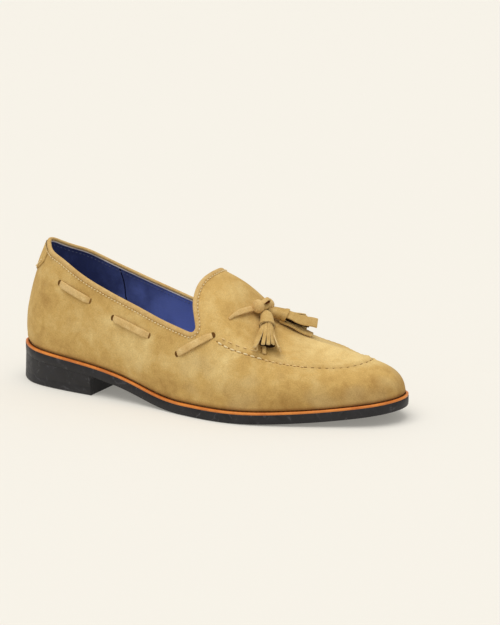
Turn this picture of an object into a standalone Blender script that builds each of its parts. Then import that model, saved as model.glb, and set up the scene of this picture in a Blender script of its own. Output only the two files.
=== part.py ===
"""Suede tassel loafer, right shoe: hollow upper on the last, welt, outsole, heel, insole, lacing, tassels.

Metres, +Z up, heel at -X, toe at +X, lateral side at -Y. The origin is on the floor under the middle
of the sole. The shape functions count x from the sole's back edge, and put_origin moves each mesh.
"""

import math

import bmesh
import bpy
import numpy as np

# Sole
LENGTH = 0.300  # outsole, heel to toe
BALL_WIDTH = 0.104  # outsole across the ball
SOLE_THICK = 0.0063
HEEL_LIFT = 0.0196  # underside of the outsole above the floor, at the back
HEEL_BREAST = 0.246  # front face of the heel, as a share of the length
HEEL_RAKE = 0.0012  # how far the heel's foot stands behind its top
HEEL_TAPER = 0.0008  # how far its sides draw in towards the floor
TOE_SPRING = 0.0097
FLAT_START, FLAT_END = 0.53, 0.63  # the sole lies flat on the floor between these shares
EDGE_ROUND = 0.0006
WELT_THICK = 0.0025
WELT_SHOW = 0.0028  # what shows of the welt outside the upper
GAP = 0.0003  # clearance between touching pieces

# Upper, heights above the welt
WALL = 0.0020
BACK_HEIGHT = 0.0782  # collar at the centre back
INSTEP_HEIGHT = 0.0850  # top of the tongue
RIDGE_BACK, RIDGE_FRONT = 0.250, 0.773  # the sections' tops run between these shares of the length
RIDGE_SHIFT = 0.0050  # the instep lies this far to the medial side
INSOLE_PROUD = 0.0015

# Trim
BINDING_HEIGHT = 0.0040
BINDING_PROUD = 0.0004
SEAM_WIDTH = 0.0026
SEAM_PROUD = 0.0008
TAB_HEIGHT = 0.0270
TAB_THICK = 0.0010
TAB_TURN = 0.150  # half of the heel tab, as a share of half a turn
TAB_ROUND = 0.90  # 1 draws the tab's sides in to a point, 0 leaves its foot level
TAB_STEPS = (11, 6)  # across and down
LACE_WIDTH = 0.0044
LACE_THICK = 0.0013
KNOT_RADIUS = 0.0055
CAP_LENGTH = 0.0120
CAP_RADIUS = 0.0047
FRINGE_SPREAD = 0.0095
STRIP_WIDTH = 0.0042
STRIP_THICK = 0.0014

# Mesh steps
TURNS = 84  # round the upper and the sole
ROWS = 15  # up the upper's wall
RIM_STEPS = 88  # round the collar
SEAM_STEPS = 48  # each half of the moccasin seam
CUT_OVER = 0.0010  # how far a cutter passes the faces that it opens
WELD = 0.00004  # joins the points that the cuts leave almost touching
GRID_TURNS, GRID_ROWS = 360, 61  # lookup of the upper's surface

OUTLINE = (
    # along, lateral and medial half width as shares of half the ball width
    (0.000, 0.000, 0.000),
    (0.020, 0.230, 0.240),
    (0.060, 0.435, 0.430),
    (0.130, 0.575, 0.570),
    (0.220, 0.660, 0.625),
    (0.330, 0.735, 0.600),
    (0.430, 0.845, 0.585),
    (0.530, 0.985, 0.700),
    (0.630, 1.055, 0.900),
    (0.710, 0.985, 0.985),
    (0.770, 0.865, 0.960),
    (0.840, 0.705, 0.870),
    (0.900, 0.550, 0.730),
    (0.950, 0.395, 0.560),
    (0.985, 0.195, 0.360),
    (1.000, -0.080, 0.080),
)
UNDERSIDE = (
    # along, height as a share of the heel lift
    (0.00, 1.000),
    (0.12, 0.878),
    (0.25, 0.709),
    (0.36, 0.408),
    (0.45, 0.082),
    (0.53, 0.000),
    (0.61, 0.082),
)
RIDGE = (
    # along, height of the sections' tops as a share of the instep height
    (0.22, 1.418),
    (0.30, 1.341),
    (0.38, 1.255),
    (0.46, 1.145),
    (0.53, 0.985),
    (0.58, 0.890),
    (0.64, 0.690),
    (0.70, 0.557),
    (0.76, 0.465),
    (0.82, 0.428),
)
SECTIONS = (
    # along, wall roundness, top roundness, lateral and medial bulge of the wall
    (0.00, 2.0, 1.6, 0.050, 0.050),
    (0.12, 2.0, 1.7, 0.050, 0.060),
    (0.30, 2.2, 1.9, 0.060, 0.160),
    (0.45, 2.2, 2.0, 0.060, 0.180),
    (0.60, 2.1, 2.0, 0.030, 0.050),
    (0.75, 2.2, 2.0, 0.040, 0.040),
    (0.90, 2.4, 2.0, 0.030, 0.030),
    (1.00, 2.4, 2.0, 0.010, 0.010),
)
COLLAR = (
    # side view of the opening's edge: along, height as a share of the back height
    (0.040, 1.020),
    (0.070, 1.000),
    (0.085, 0.962),
    (0.102, 0.928),
    (0.137, 0.890),
    (0.172, 0.840),
    (0.204, 0.793),
    (0.266, 0.729),
    (0.325, 0.693),
    (0.383, 0.679),
    (0.441, 0.665),
    (0.498, 0.637),
    (0.522, 0.618),
    (0.534, 0.618),
    (0.5385, 0.640),
    (0.536, 0.680),
    (0.526, 0.758),
    (0.518, 0.825),
    (0.5135, 0.900),
    (0.5125, 0.970),
    (0.516, 1.035),
    (0.527, 1.090),
    (0.545, 1.130),
    (0.570, 1.160),
)
APRON = (
    # the moccasin seam: turn from the heel as a share of half a turn, share of the way up to the ridge
    (0.560, 0.436),
    (0.585, 0.408),
    (0.620, 0.402),
    (0.664, 0.397),
    (0.727, 0.378),
    (0.780, 0.390),
    (0.839, 0.418),
    (0.880, 0.430),
    (0.938, 0.441),
    (1.000, 0.446),
)
SIDE_LACE = (
    # bars of the side lace: turn and share up at the back end, then at the front end
    (0.233, 0.369, 0.317, 0.345),
    (0.376, 0.313, 0.443, 0.322),
    (0.501, 0.297, 0.557, 0.455),
)
FRONT_LACE = (
    # from the lateral slot over the instep to the medial slot: turn, share up, lift in lace thicknesses
    (0.583, 0.617, 0.0),
    (0.600, 0.706, 0.5),
    (0.622, 0.815, 0.8),
    (0.642, 0.915, 0.1),
    (0.660, 1.000, 0.0),
    (1.358, 0.915, 0.1),
    (1.378, 0.815, 0.8),
    (1.400, 0.706, 0.5),
    (1.417, 0.617, 0.0),
)
BAR_STEPS = 7
FRONT_LACE_STEPS = 19
KNOT_PLACE = (0.642, -0.03)  # along, and across as a share of half the ball width
KNOT_SHAPE = (1.25, 0.90, 0.58)  # half sizes across the shoe, along it and upwards, in knot radii
WRAPS = ((-0.45, -0.16), (0.50, 0.18))  # each turn's lean in radians, and how far aside in half widths
WRAP_SINK = 0.90  # a turn's radius as a share of the core's, so that it's bedded in
WRAP_STEPS = 14

TASSELS = {
    # name: share of the spread, and the way it lies: along, across
    "lateral": (1.00, ((0.659, -0.12), (0.670, -0.23), (0.687, -0.42), (0.707, -0.63))),
    "medial": (0.92, ((0.663, 0.06), (0.686, 0.10), (0.716, 0.17), (0.748, 0.27))),
}
ROUTE_STEPS = 14
CAP_SHAPE = (0.70, 0.86, 0.94, 1.00, 0.97, 0.90)  # half width along the cap, in cap radii
CAP_STEPS = 12
STRIP_STEPS = 6
STRIP_ROOT = 0.25  # how far the strips run up into the cap, as a share of its length
FAN_START = 0.25  # the strips' spread at the cap as a share of that at their tips
ROOT_LOW = 0.62  # the lowest strips' height in the cap, in cap radii over its underside
ROOT_STEP = 0.22  # and how much higher each layer starts
LAID_LIFT = 0.10  # play under a strip that has settled, in strip thicknesses
SETTLE_RATE = 1.6  # the strips are down on the upper at 1 / this of their length
STRIPS = (
    # sideways as a share of the spread, height in strip thicknesses, share of the fringe's length
    (-1.00, 0.0, 0.93),
    (-0.50, 0.3, 0.98),
    (0.00, 0.0, 0.97),
    (0.50, 0.3, 0.96),
    (1.00, 0.0, 0.92),
    (-0.70, 2.0, 0.97),
    (-0.10, 2.3, 1.00),
    (0.55, 2.0, 0.98),
)

COLOURS = {
    # name: colour, roughness
    "suede": ((0.56, 0.37, 0.15), 0.95),
    "suede_trim": ((0.52, 0.33, 0.16), 0.90),
    "lining": ((0.035, 0.06, 0.24), 0.55),
    "welt": ((0.72, 0.22, 0.045), 0.50),
    "sole": ((0.028, 0.026, 0.028), 0.55),
}


def spline(at, values):
    """A smooth curve through the values, a natural cubic, as a function of the place."""
    at = np.asarray(at, float)
    values = np.asarray(values, float)
    step = np.diff(at)
    rise = np.diff(values) / step
    bands = np.eye(len(at))
    bends = np.zeros(len(at))
    for i in range(1, len(at) - 1):
        bands[i, i - 1 : i + 2] = step[i - 1], 2 * (step[i - 1] + step[i]), step[i]
        bends[i] = 6 * (rise[i] - rise[i - 1])
    bend = np.linalg.solve(bands, bends)

    def value(place):
        place = np.asarray(place, float)
        i = np.clip(np.searchsorted(at, place) - 1, 0, len(step) - 1)
        done, left = place - at[i], at[i + 1] - place
        curved = (bend[i] * left**3 + bend[i + 1] * done**3) / (6 * step[i])
        from_left = (values[i] / step[i] - bend[i] * step[i] / 6) * left
        from_right = (values[i + 1] / step[i] - bend[i + 1] * step[i] / 6) * done
        return curved + from_left + from_right

    return value


def columns(table):
    return [np.array(column) for column in zip(*table)]


def table_splines(table):
    first, *others = columns(table)
    return [spline(first, other) for other in others]


def half_width_splines():
    """Half widths by the angle whose cosine gives the place, which keeps heel and toe round."""
    along, lateral, medial = columns(OUTLINE)
    angle = np.arccos(1 - 2 * along)
    return spline(angle, lateral), spline(angle, medial)


lateral_half, medial_half = half_width_splines()
(underside_share,) = table_splines(UNDERSIDE)
(ridge_share,) = table_splines(RIDGE)
wall_round, top_round, lateral_bulge, medial_bulge = table_splines(SECTIONS)


def underside(x):
    along = x / LENGTH
    toe = TOE_SPRING * (np.clip(along - FLAT_END, 0, 1) / (1 - FLAT_END)) ** 1.9
    heel = HEEL_LIFT * underside_share(along)
    return np.where(along < FLAT_START, heel, toe)


def welt_top(x):
    return underside(x) + SOLE_THICK + WELT_THICK + GAP


def outline(turn):
    """The sole's edge as a loop: turn 0 at the heel, pi at the toe, the lateral side first."""
    turn = np.mod(turn, 2 * math.pi)
    angle = np.where(turn > math.pi, 2 * math.pi - turn, turn)
    half = np.where(turn > math.pi, medial_half(angle), -lateral_half(angle))
    return LENGTH * (1 - np.cos(angle)) / 2, BALL_WIDTH / 2 * half


def inset_outline(turn, inset):
    turn = np.asarray(turn, float)
    x0, y0 = outline(turn - 1e-3)
    x1, y1 = outline(turn + 1e-3)
    x, y = outline(turn)
    run = np.hypot(x1 - x0, y1 - y0)
    return x - inset * (y1 - y0) / run, y + inset * (x1 - x0) / run


def ridge_height(x):
    return welt_top(x) + INSTEP_HEIGHT * ridge_share(x / LENGTH)


def sections(turns, rows):
    """The upper's outside, [turn, row, xyz]: each section climbs from the welt to the ridge."""
    along = (1 - np.cos(turns)) / 2
    foot_x, foot_y = inset_outline(turns, WELT_SHOW)
    foot_z = welt_top(foot_x) + GAP
    top_x = LENGTH * (RIDGE_BACK + (RIDGE_FRONT - RIDGE_BACK) * along)
    top_y = RIDGE_SHIFT * np.sin(math.pi / 2 * along) + 0 * top_x
    top_z = ridge_height(top_x)
    slope = (ridge_height(top_x + 1e-4) - ridge_height(top_x - 1e-4)) / 2e-4
    bulge = np.where(np.sin(turns) < 0, medial_bulge(along), lateral_bulge(along))
    sweep = np.linspace(0, math.pi / 2, 140)
    out = np.abs(np.cos(sweep)) ** (2 / wall_round(along)[:, None])
    up = np.sin(sweep) ** (2 / top_round(along)[:, None])
    out = out * (1 + bulge[:, None] * np.sin(math.pi * up**0.6))
    reach_x, reach_y = (foot_x - top_x)[:, None] * out, (foot_y - top_y)[:, None] * out
    points = np.stack(
        (
            top_x[:, None] + reach_x,
            top_y[:, None] + reach_y,
            foot_z[:, None] + (top_z - foot_z)[:, None] * up + slope[:, None] * reach_x * up**3,
        ),
        axis=2,
    )
    run = np.zeros(points.shape[:2])
    run[:, 1:] = np.cumsum(np.linalg.norm(np.diff(points, axis=1), axis=2), axis=1)
    even = np.empty((len(turns), rows, 3))
    for i, length in enumerate(run):
        at = np.linspace(0, length[-1], rows)
        even[i] = np.stack([np.interp(at, length, points[i, :, k]) for k in range(3)], axis=1)
    return even


def full_turn(count):
    return np.arange(count) * 2 * math.pi / count


def unit(vectors):
    return vectors / np.linalg.norm(vectors, axis=-1, keepdims=True)


def surface_lookup():
    """Points and outward normals of the upper's outside on an even grid of turn and share up."""
    turns = full_turn(GRID_TURNS)
    points = sections(turns, GRID_ROWS)
    around = np.roll(points, -1, axis=0) - np.roll(points, 1, axis=0)
    normals = unit(np.cross(around, np.gradient(points, axis=1)))
    mirrored = (-np.arange(GRID_TURNS)) % GRID_TURNS
    normals[:, -1] = unit(normals[:, -2] + normals[mirrored, -2])
    return points, normals


grid_points, grid_normals = surface_lookup()


def on_upper(turn, up, lift=0.0):
    """Points on the upper's outside and their normals, lifted along these."""
    turn, up, lift = np.broadcast_arrays(np.asarray(turn, float), up, lift)
    across = np.mod(turn / (2 * math.pi), 1) * GRID_TURNS
    rise = np.clip(up, 0, 1) * (GRID_ROWS - 1)
    i, j = across.astype(int) % GRID_TURNS, np.minimum(rise.astype(int), GRID_ROWS - 2)
    a, b = (across - np.floor(across))[..., None], (rise - j)[..., None]
    after = (i + 1) % GRID_TURNS

    def blend(grid):
        low = grid[i, j] * (1 - a) + grid[after, j] * a
        high = grid[i, j + 1] * (1 - a) + grid[after, j + 1] * a
        return low * (1 - b) + high * b

    normal = unit(blend(grid_normals))
    return blend(grid_points) + lift[..., None] * normal, normal


def collar_curve(outset=0.0):
    """Side view of the opening's edge, x and z, from behind the heel to above the tongue."""
    along, share = columns(COLLAR)
    x = along * LENGTH
    z = welt_top(x) + BACK_HEIGHT * share
    run = np.concatenate(([0], np.cumsum(np.hypot(np.diff(x), np.diff(z)))))
    at = np.linspace(0, run[-1], 160)
    curve = np.stack((spline(run, x)(at), spline(run, z)(at)), axis=1)
    ahead = unit(np.gradient(curve, axis=0))
    return curve + outset * np.stack((ahead[:, 1], -ahead[:, 0]), axis=1)


def opening_outline(outset=0.0):
    """The side view of all that the opening takes away, as a closed polygon."""
    curve = collar_curve(outset)
    above, behind = 2 * (INSTEP_HEIGHT + HEEL_LIFT), -BACK_HEIGHT
    ends = [[curve[-1, 0], above], [behind, above], [behind, curve[0, 1]]]
    return np.concatenate((curve, ends))


def opening_depth(x, z):
    """Distance to the opening's edge in side view, positive inside it."""
    corners = opening_outline()
    place = np.stack((np.ravel(x), np.ravel(z)), axis=1)[:, None]
    start, end = corners, np.roll(corners, -1, axis=0)
    edge = end - start
    share = np.clip(((place - start) * edge).sum(axis=2) / (edge**2).sum(axis=1), 0, 1)
    distance = np.linalg.norm(place - start - share[..., None] * edge, axis=2).min(axis=1)
    spans = (start[:, 1] > place[..., 1]) != (end[:, 1] > place[..., 1])
    rise = np.where(edge[:, 1] == 0, 1, edge[:, 1])
    crossing = start[:, 0] + (place[..., 1] - start[:, 1]) * edge[:, 0] / rise
    inside = (spans & (place[..., 0] < crossing)).sum(axis=1) % 2 == 1
    return np.where(inside, distance, -distance).reshape(np.shape(x))


def collar_side(medial):
    """One side of the opening's edge as turn and share up, from the heel to the ridge."""
    half = GRID_TURNS // 2 + 1
    columns_used = (-np.arange(half)) % GRID_TURNS if medial else np.arange(half)
    depth = opening_depth(grid_points[columns_used, :, 0], grid_points[columns_used, :, 2])
    links = {}

    def crossing(cell_edge):
        (i, j), (k, m) = cell_edge
        share = depth[i, j] / (depth[i, j] - depth[k, m])
        return (i + share * (k - i)) * 2 / GRID_TURNS, (j + share * (m - j)) / (GRID_ROWS - 1)

    for i in range(half - 1):
        for j in range(GRID_ROWS - 1):
            ring = ((i, j), (i + 1, j), (i + 1, j + 1), (i, j + 1))
            edges = [tuple(sorted((ring[k], ring[(k + 1) % 4]))) for k in range(4)]
            cut = [e for e in edges if (depth[e[0]] > 0) != (depth[e[1]] > 0)]
            if len(cut) == 2:
                links.setdefault(cut[0], []).append(cut[1])
                links.setdefault(cut[1], []).append(cut[0])
    at = min((e for e in links if len(links[e]) == 1), key=lambda e: e[0][0] + e[1][0])
    path, before = [crossing(at)], None
    while True:
        onward = [e for e in links[at] if e != before]
        if not onward:
            return np.array(path)
        before, at = at, onward[0]
        path.append(crossing(at))


def evenly(path, count, closed=False):
    """The path's rows at equal steps along its first three columns' length, others carried along."""
    whole = np.concatenate((path, path[:1])) if closed else path
    run = np.concatenate(([0], np.cumsum(np.linalg.norm(np.diff(whole[:, :3], axis=0), axis=1))))
    at = np.linspace(0, run[-1], count, endpoint=not closed)
    return np.stack([np.interp(at, run, column) for column in whole.T], axis=1)


def smoothed(loop, rounds):
    for _ in range(rounds):
        loop = (np.roll(loop, 1, axis=0) + 2 * loop + np.roll(loop, -1, axis=0)) / 4
    return loop


def collar_loop(count):
    """The opening's edge on the upper: points, outward normals and the way down the wall."""
    lateral, medial = collar_side(False), collar_side(True)
    medial[:, 0] = 2 - medial[:, 0]
    path = np.concatenate((lateral, medial[::-1][1:-1]))
    points, normals = on_upper(path[:, 0] * math.pi, path[:, 1])
    rows = evenly(np.concatenate((points, normals), axis=1), count, closed=True)
    rows = smoothed(rows, 2)
    points, normals = rows[:, :3], unit(rows[:, 3:])
    along = np.roll(points, -1, axis=0) - np.roll(points, 1, axis=0)
    down = unit(np.cross(along, normals))
    return points, normals, down


def material(name):
    colour, roughness = COLOURS[name]
    made = bpy.data.materials.get(name) or bpy.data.materials.new(name)
    made.use_nodes = True
    shader = made.node_tree.nodes["Principled BSDF"]
    shader.inputs["Base Color"].default_value = (*colour, 1)
    shader.inputs["Roughness"].default_value = roughness
    shader.inputs["Metallic"].default_value = 0
    return made


def put_origin(points):
    """From the sole's back edge to the middle of the footprint."""
    _, y = outline(np.linspace(0, 2 * math.pi, 721))
    middle = np.array(((LENGTH - HEEL_RAKE) / 2, (y.min() + y.max()) / 2, 0))
    return np.asarray(points) - middle


def solid(name, points, faces, finish=None):
    """A closed body as an object; without a finish it is a tool that no render shows."""
    mesh = bpy.data.meshes.new(name)
    mesh.from_pydata(put_origin(points).tolist(), [], [[int(v) for v in face] for face in faces])
    shape = bmesh.new()
    shape.from_mesh(mesh)
    bmesh.ops.recalc_face_normals(shape, faces=shape.faces)
    if shape.calc_volume(signed=True) < 0:
        bmesh.ops.reverse_faces(shape, faces=shape.faces)
    shape.to_mesh(mesh)
    shape.free()
    mesh.shade_smooth()
    mesh.set_sharp_from_angle(angle=math.radians(40))
    made = bpy.data.objects.new(name, mesh)
    bpy.context.scene.collection.objects.link(made)
    if finish:
        mesh.materials.append(material(finish))
    else:
        made.hide_render = True
        made.display_type = "WIRE"
    return made


def combine(target, tool, operation):
    modifier = target.modifiers.new(operation.lower(), "BOOLEAN")
    modifier.operation = operation
    modifier.solver = "EXACT"
    modifier.object = tool


def band_faces(rings, count, closed=False):
    """Quads between successive rings of points, and from the last ring to the first where closed."""
    faces = []
    for ring in range(rings if closed else rings - 1):
        low, high = ring * count, (ring + 1) % rings * count
        for k in range(count):
            after = (k + 1) % count
            faces.append((low + k, low + after, high + after, high + k))
    return faces


def sweep(path, sides, ups, outlines, closed=False):
    """Points and faces of a section carried along a path; outlines is one section or one for each place."""
    outlines = np.asarray(outlines)
    if outlines.ndim == 2:
        outlines = np.repeat(outlines[None], len(path), axis=0)
    points = path[:, None] + sides[:, None] * outlines[..., :1] + ups[:, None] * outlines[..., 1:]
    count, corners = outlines.shape[:2]
    faces = band_faces(count, corners, closed)
    if not closed:
        faces.append(range(corners))
        faces.append(range((count - 1) * corners, count * corners))
    return points.reshape(-1, 3), faces


def strap_outline(width, thick):
    """A flat strap's section with bevelled edges, its underside at height 0."""
    half, corner = width / 2, min(thick / 2, width / 5)
    return np.array(
        (
            (-half + corner, 0),
            (half - corner, 0),
            (half, thick / 2),
            (half - corner, thick),
            (-half + corner, thick),
            (-half, thick / 2),
        )
    )


def strap(path, ups, width, thick, end_share=0.7):
    """A strap along a path, its ends a little narrower."""
    along = np.gradient(path, axis=0)
    sides = unit(np.cross(along, ups))
    ups = unit(np.cross(sides, along))
    shape = np.repeat(strap_outline(width, thick)[None], len(path), axis=0)
    shape[[0, -1], :, 0] *= end_share
    return sweep(path, sides, ups, shape)


def level_points(turns, levels):
    """Rings of points within the sole's outline; each level is an inset and a height function."""
    rings = []
    for inset, height in levels:
        x, y = inset_outline(turns, inset)
        rings.append(np.stack((x, y, height(x)), axis=1))
    return np.concatenate(rings)


def plate(name, levels, finish, end=math.pi):
    """A closed plate from the heel to the end angle, its two faces made of rungs from side to side."""
    lateral = np.linspace(0, end, round(TURNS / 2 * max(end / math.pi, 0.5)) + 1)
    medial = -lateral[::-1][:-1]
    if end == math.pi:
        medial = medial[1:]
    turns = np.concatenate((lateral, medial))
    count = len(turns)
    faces = band_faces(len(levels), count)
    for first in (0, (len(levels) - 1) * count):
        for k in range(len(lateral) - 1):
            rung = (k, k + 1, count - k - 1, (count - k) % count)
            faces.append([first + corner for corner in dict.fromkeys(rung)])
    return solid(name, level_points(turns, levels), faces, finish)


def make_outsole():
    top = lambda x: underside(x) + SOLE_THICK
    levels = (
        (EDGE_ROUND, underside),
        (0, lambda x: underside(x) + EDGE_ROUND),
        (0, lambda x: top(x) - EDGE_ROUND / 2),
        (EDGE_ROUND / 2, top),
    )
    plate("outsole", levels, "sole")


def make_heel():
    """The stack under the outsole's back; it leans backwards towards the floor."""
    levels = (
        (HEEL_TAPER + EDGE_ROUND, lambda x: 0 * x),
        (HEEL_TAPER, lambda x: 0 * x + EDGE_ROUND),
        (0, lambda x: underside(x) - GAP),
    )
    heel = plate("heel", levels, "sole", end=math.acos(1 - 2 * HEEL_BREAST))
    back = put_origin(np.zeros(3))[0]
    for vertex in heel.data.vertices:
        lowness = max(0, 1 - vertex.co.z / HEEL_LIFT)
        backness = max(0, 1 - (vertex.co.x - back) / (LENGTH * HEEL_BREAST))
        vertex.co.x -= (HEEL_TAPER + HEEL_RAKE) * lowness * backness


def make_welt():
    turns = full_turn(TURNS)
    low = lambda x: underside(x) + SOLE_THICK + GAP
    inner = WELT_SHOW + WALL
    levels = (
        (0, low),
        (0, lambda x: welt_top(x) - EDGE_ROUND),
        (EDGE_ROUND, welt_top),
        (inner, welt_top),
        (inner, low),
    )
    faces = band_faces(len(levels), TURNS, closed=True)
    solid("welt", level_points(turns, levels), faces, "welt")


def make_insole():
    low = lambda x: underside(x) + SOLE_THICK + GAP
    high = lambda x: welt_top(x) + INSOLE_PROUD
    inset = WELT_SHOW + WALL + GAP
    levels = (
        (inset, low),
        (inset, lambda x: high(x) - EDGE_ROUND),
        (inset + EDGE_ROUND, high),
    )
    plate("insole", levels, "lining")


def shell():
    """The whole upper before the opening is cut: outer and inner faces, open along the welt."""
    turns = full_turn(TURNS)
    shares = np.linspace(0, 1, ROWS)
    outer, _ = on_upper(turns[:, None], shares[None, :])
    inner, _ = on_upper(turns[:, None], shares[None, :], -WALL)
    points, index = [], {}

    def corner(layer, i, j):
        i %= TURNS
        if j == ROWS - 1:
            i = min(i, TURNS - i)
        key = (layer, i, j)
        if key not in index:
            index[key] = len(points)
            points.append((outer, inner)[layer][i, j])
        return index[key]

    faces = []
    for i in range(TURNS):
        for layer in (0, 1):
            for j in range(ROWS - 1):
                ring = ((i, j), (i + 1, j), (i + 1, j + 1), (i, j + 1))
                corners = list(dict.fromkeys(corner(layer, *place) for place in ring))
                faces.append(corners if layer == 0 else corners[::-1])
        faces.append((corner(1, i, 0), corner(1, i + 1, 0), corner(0, i + 1, 0), corner(0, i, 0)))
    return points, faces


def opening_tool():
    """Cuts halfway down the binding, whose own room takes the rest with a clean edge."""
    outline_xz = opening_outline(BINDING_HEIGHT / 2)
    points = [(x, side * BALL_WIDTH, z) for side in (-1, 1) for x, z in outline_xz]
    count = len(outline_xz)
    faces = [range(count), range(count, 2 * count)]
    for k in range(count):
        after = (k + 1) % count
        faces.append((k, after, count + after, count + k))
    return solid("opening_tool", points, faces)


def binding_outline():
    """The rolled edge's section: way down the wall, height over the wall's outside."""
    outside, inside = BINDING_PROUD, -WALL - BINDING_PROUD
    middle, half = (outside + inside) / 2, (outside - inside) / 2
    roll = [
        (half * (1 - math.sin(angle)), middle + half * math.cos(angle))
        for angle in np.linspace(0, math.pi, 5)
    ]
    return np.array([(BINDING_HEIGHT, outside), *roll, (BINDING_HEIGHT, inside)])


def binding_room_outline():
    """What the binding takes from the upper's wall, with its clearance."""
    low, high = BINDING_HEIGHT + GAP, -CUT_OVER
    out, inside = BINDING_PROUD + CUT_OVER, -WALL - BINDING_PROUD - CUT_OVER
    return np.array(((low, out), (high, out), (high, inside), (low, inside)))


def apron_outline():
    """The puckered roll's section, sunk into the wall so that it fuses with it."""
    half = SEAM_WIDTH / 2
    sunk = -WALL / 3
    return np.array(
        ((-half, sunk), (half, sunk), (half, 0), (half / 2, SEAM_PROUD), (-half / 2, SEAM_PROUD), (-half, 0))
    )


def apron_path(count):
    """The moccasin seam from the lateral throat round the toe to the medial throat."""
    turn, up = columns(APRON)
    height = spline(turn, up)
    lateral = np.linspace(turn[0], 1, count)
    turns = np.concatenate((lateral, 2 - lateral[::-1][1:]))
    ups = np.concatenate((height(lateral), height(lateral[::-1][1:])))
    points, normals = on_upper(turns * math.pi, ups)
    rows = evenly(np.concatenate((points, normals), axis=1), count)
    return rows[:, :3], unit(rows[:, 3:])


def make_upper_and_binding():
    upper = solid("upper", *shell(), "suede")
    combine(upper, opening_tool(), "DIFFERENCE")
    points, normals, down = collar_loop(RIM_STEPS)
    room = solid("binding_room", *sweep(points, down, normals, binding_room_outline(), closed=True))
    combine(upper, room, "DIFFERENCE")
    path, ups = apron_path(SEAM_STEPS)
    sides = unit(np.cross(np.gradient(path, axis=0), ups))
    roll = solid("apron_roll", *sweep(path, sides, ups, apron_outline()))
    combine(upper, roll, "UNION")
    weld = upper.modifiers.new("weld", "WELD")
    weld.merge_threshold = WELD
    solid("topline_binding", *sweep(points, down, normals, binding_outline(), closed=True), "suede_trim")


def make_side_laces():
    for side, mirror in (("lateral", 1), ("medial", -1)):
        for number, (turn0, up0, turn1, up1) in enumerate(SIDE_LACE, start=1):
            share = np.linspace(0, 1, BAR_STEPS)
            turns = mirror * math.pi * (turn0 + (turn1 - turn0) * share)
            path, ups = on_upper(turns, up0 + (up1 - up0) * share, GAP)
            made = strap(path, ups, LACE_WIDTH, LACE_THICK)
            solid(f"lace_bar_{side}_{number}", *made, "suede_trim")


def patch(turns, ups, low, high):
    """A closed piece between two heights over the upper's outside; turns and ups are equal grids."""
    inner, _ = on_upper(turns, ups, low)
    outer, _ = on_upper(turns, ups, high)
    rows, cols = turns.shape
    points = np.concatenate((inner.reshape(-1, 3), outer.reshape(-1, 3)))
    faces = []
    for i in range(rows - 1):
        for j in range(cols - 1):
            at = i * cols + j
            ring = (at, at + 1, at + cols + 1, at + cols)
            faces.append(ring[::-1])
            faces.append([v + rows * cols for v in ring])
    rim = [*range(cols - 1), *range(cols - 1, rows * cols - 1, cols)]
    rim += [*range(rows * cols - 1, (rows - 1) * cols, -1), *range((rows - 1) * cols, 0, -cols)]
    for at, after in zip(rim, rim[1:] + rim[:1]):
        faces.append((at, after, after + rows * cols, at + rows * cols))
    return points, faces


def make_heel_tab():
    """The small overlay at the back: a rounded patch below the binding, on the upper's own surface."""
    edge = collar_side(False)
    wall_run = np.linalg.norm(np.diff(grid_points[0], axis=0), axis=1).sum()
    spread = np.linspace(-1, 1, TAB_STEPS[0])
    turns = TAB_TURN * spread
    start = np.interp(np.abs(turns), edge[:, 0], edge[:, 1]) - (BINDING_HEIGHT + GAP) / wall_run
    fall = (TAB_HEIGHT - BINDING_HEIGHT) / wall_run * np.sqrt(1 - TAB_ROUND * spread**2)
    ups = start - fall * np.linspace(0, 1, TAB_STEPS[1])[:, None]
    turns = np.broadcast_to(turns * math.pi, ups.shape)
    solid("heel_tab", *patch(turns, ups, GAP, GAP + TAB_THICK), "suede")


def smooth_path(points, ups, count):
    """A smooth route through a few points, with the way up at each place."""
    run = np.concatenate(([0], np.cumsum(np.linalg.norm(np.diff(points, axis=0), axis=1))))
    at = np.linspace(0, run[-1], count)
    path = np.stack([spline(run, column)(at) for column in points.T], axis=1)
    return path, unit(np.stack([np.interp(at, run, column) for column in ups.T], axis=1))


def drop(place):
    """The point of the upper's top at a place in plan, and the normal there."""
    first = GRID_ROWS // 3
    gaps = ((grid_points[:, first:, :2] - place) ** 2).sum(axis=2)
    i, j = np.unravel_index(gaps.argmin(), gaps.shape)
    j = min(j + first, GRID_ROWS - 2)
    around = (grid_points[(i + 1) % GRID_TURNS, j] - grid_points[i - 1, j]) / 2
    rise = grid_points[i, j + 1] - grid_points[i, j]
    steps = np.linalg.pinv(np.stack((around[:2], rise[:2]), axis=1)) @ (place - grid_points[i, j, :2])
    share = np.clip(steps, -1, 1)
    normal = grid_normals[i, j] + share[1] * (grid_normals[i, j + 1] - grid_normals[i, j])
    return grid_points[i, j] + steps[0] * around + steps[1] * rise, unit(normal)


def over_upper(along, across):
    return drop(np.array((along * LENGTH, across * BALL_WIDTH / 2)))


def make_front_lace():
    turns, ups, lifts = columns(FRONT_LACE)
    points, normals = on_upper(turns * math.pi, ups, GAP + lifts * LACE_THICK)
    path, ups = smooth_path(points, normals, FRONT_LACE_STEPS)
    solid("lace_front", *strap(path, ups, LACE_WIDTH, LACE_THICK), "suede_trim")


def join_all(target, tools):
    """Fuses tools into the target, which they all overlap."""
    group = bpy.data.collections.new(target.name + "_tools")
    bpy.context.scene.collection.children.link(group)
    for tool in tools:
        bpy.context.scene.collection.objects.unlink(tool)
        group.objects.link(tool)
    modifier = target.modifiers.new("union", "BOOLEAN")
    modifier.operation = "UNION"
    modifier.solver = "EXACT"
    modifier.operand_type = "COLLECTION"
    modifier.collection = group


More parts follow.
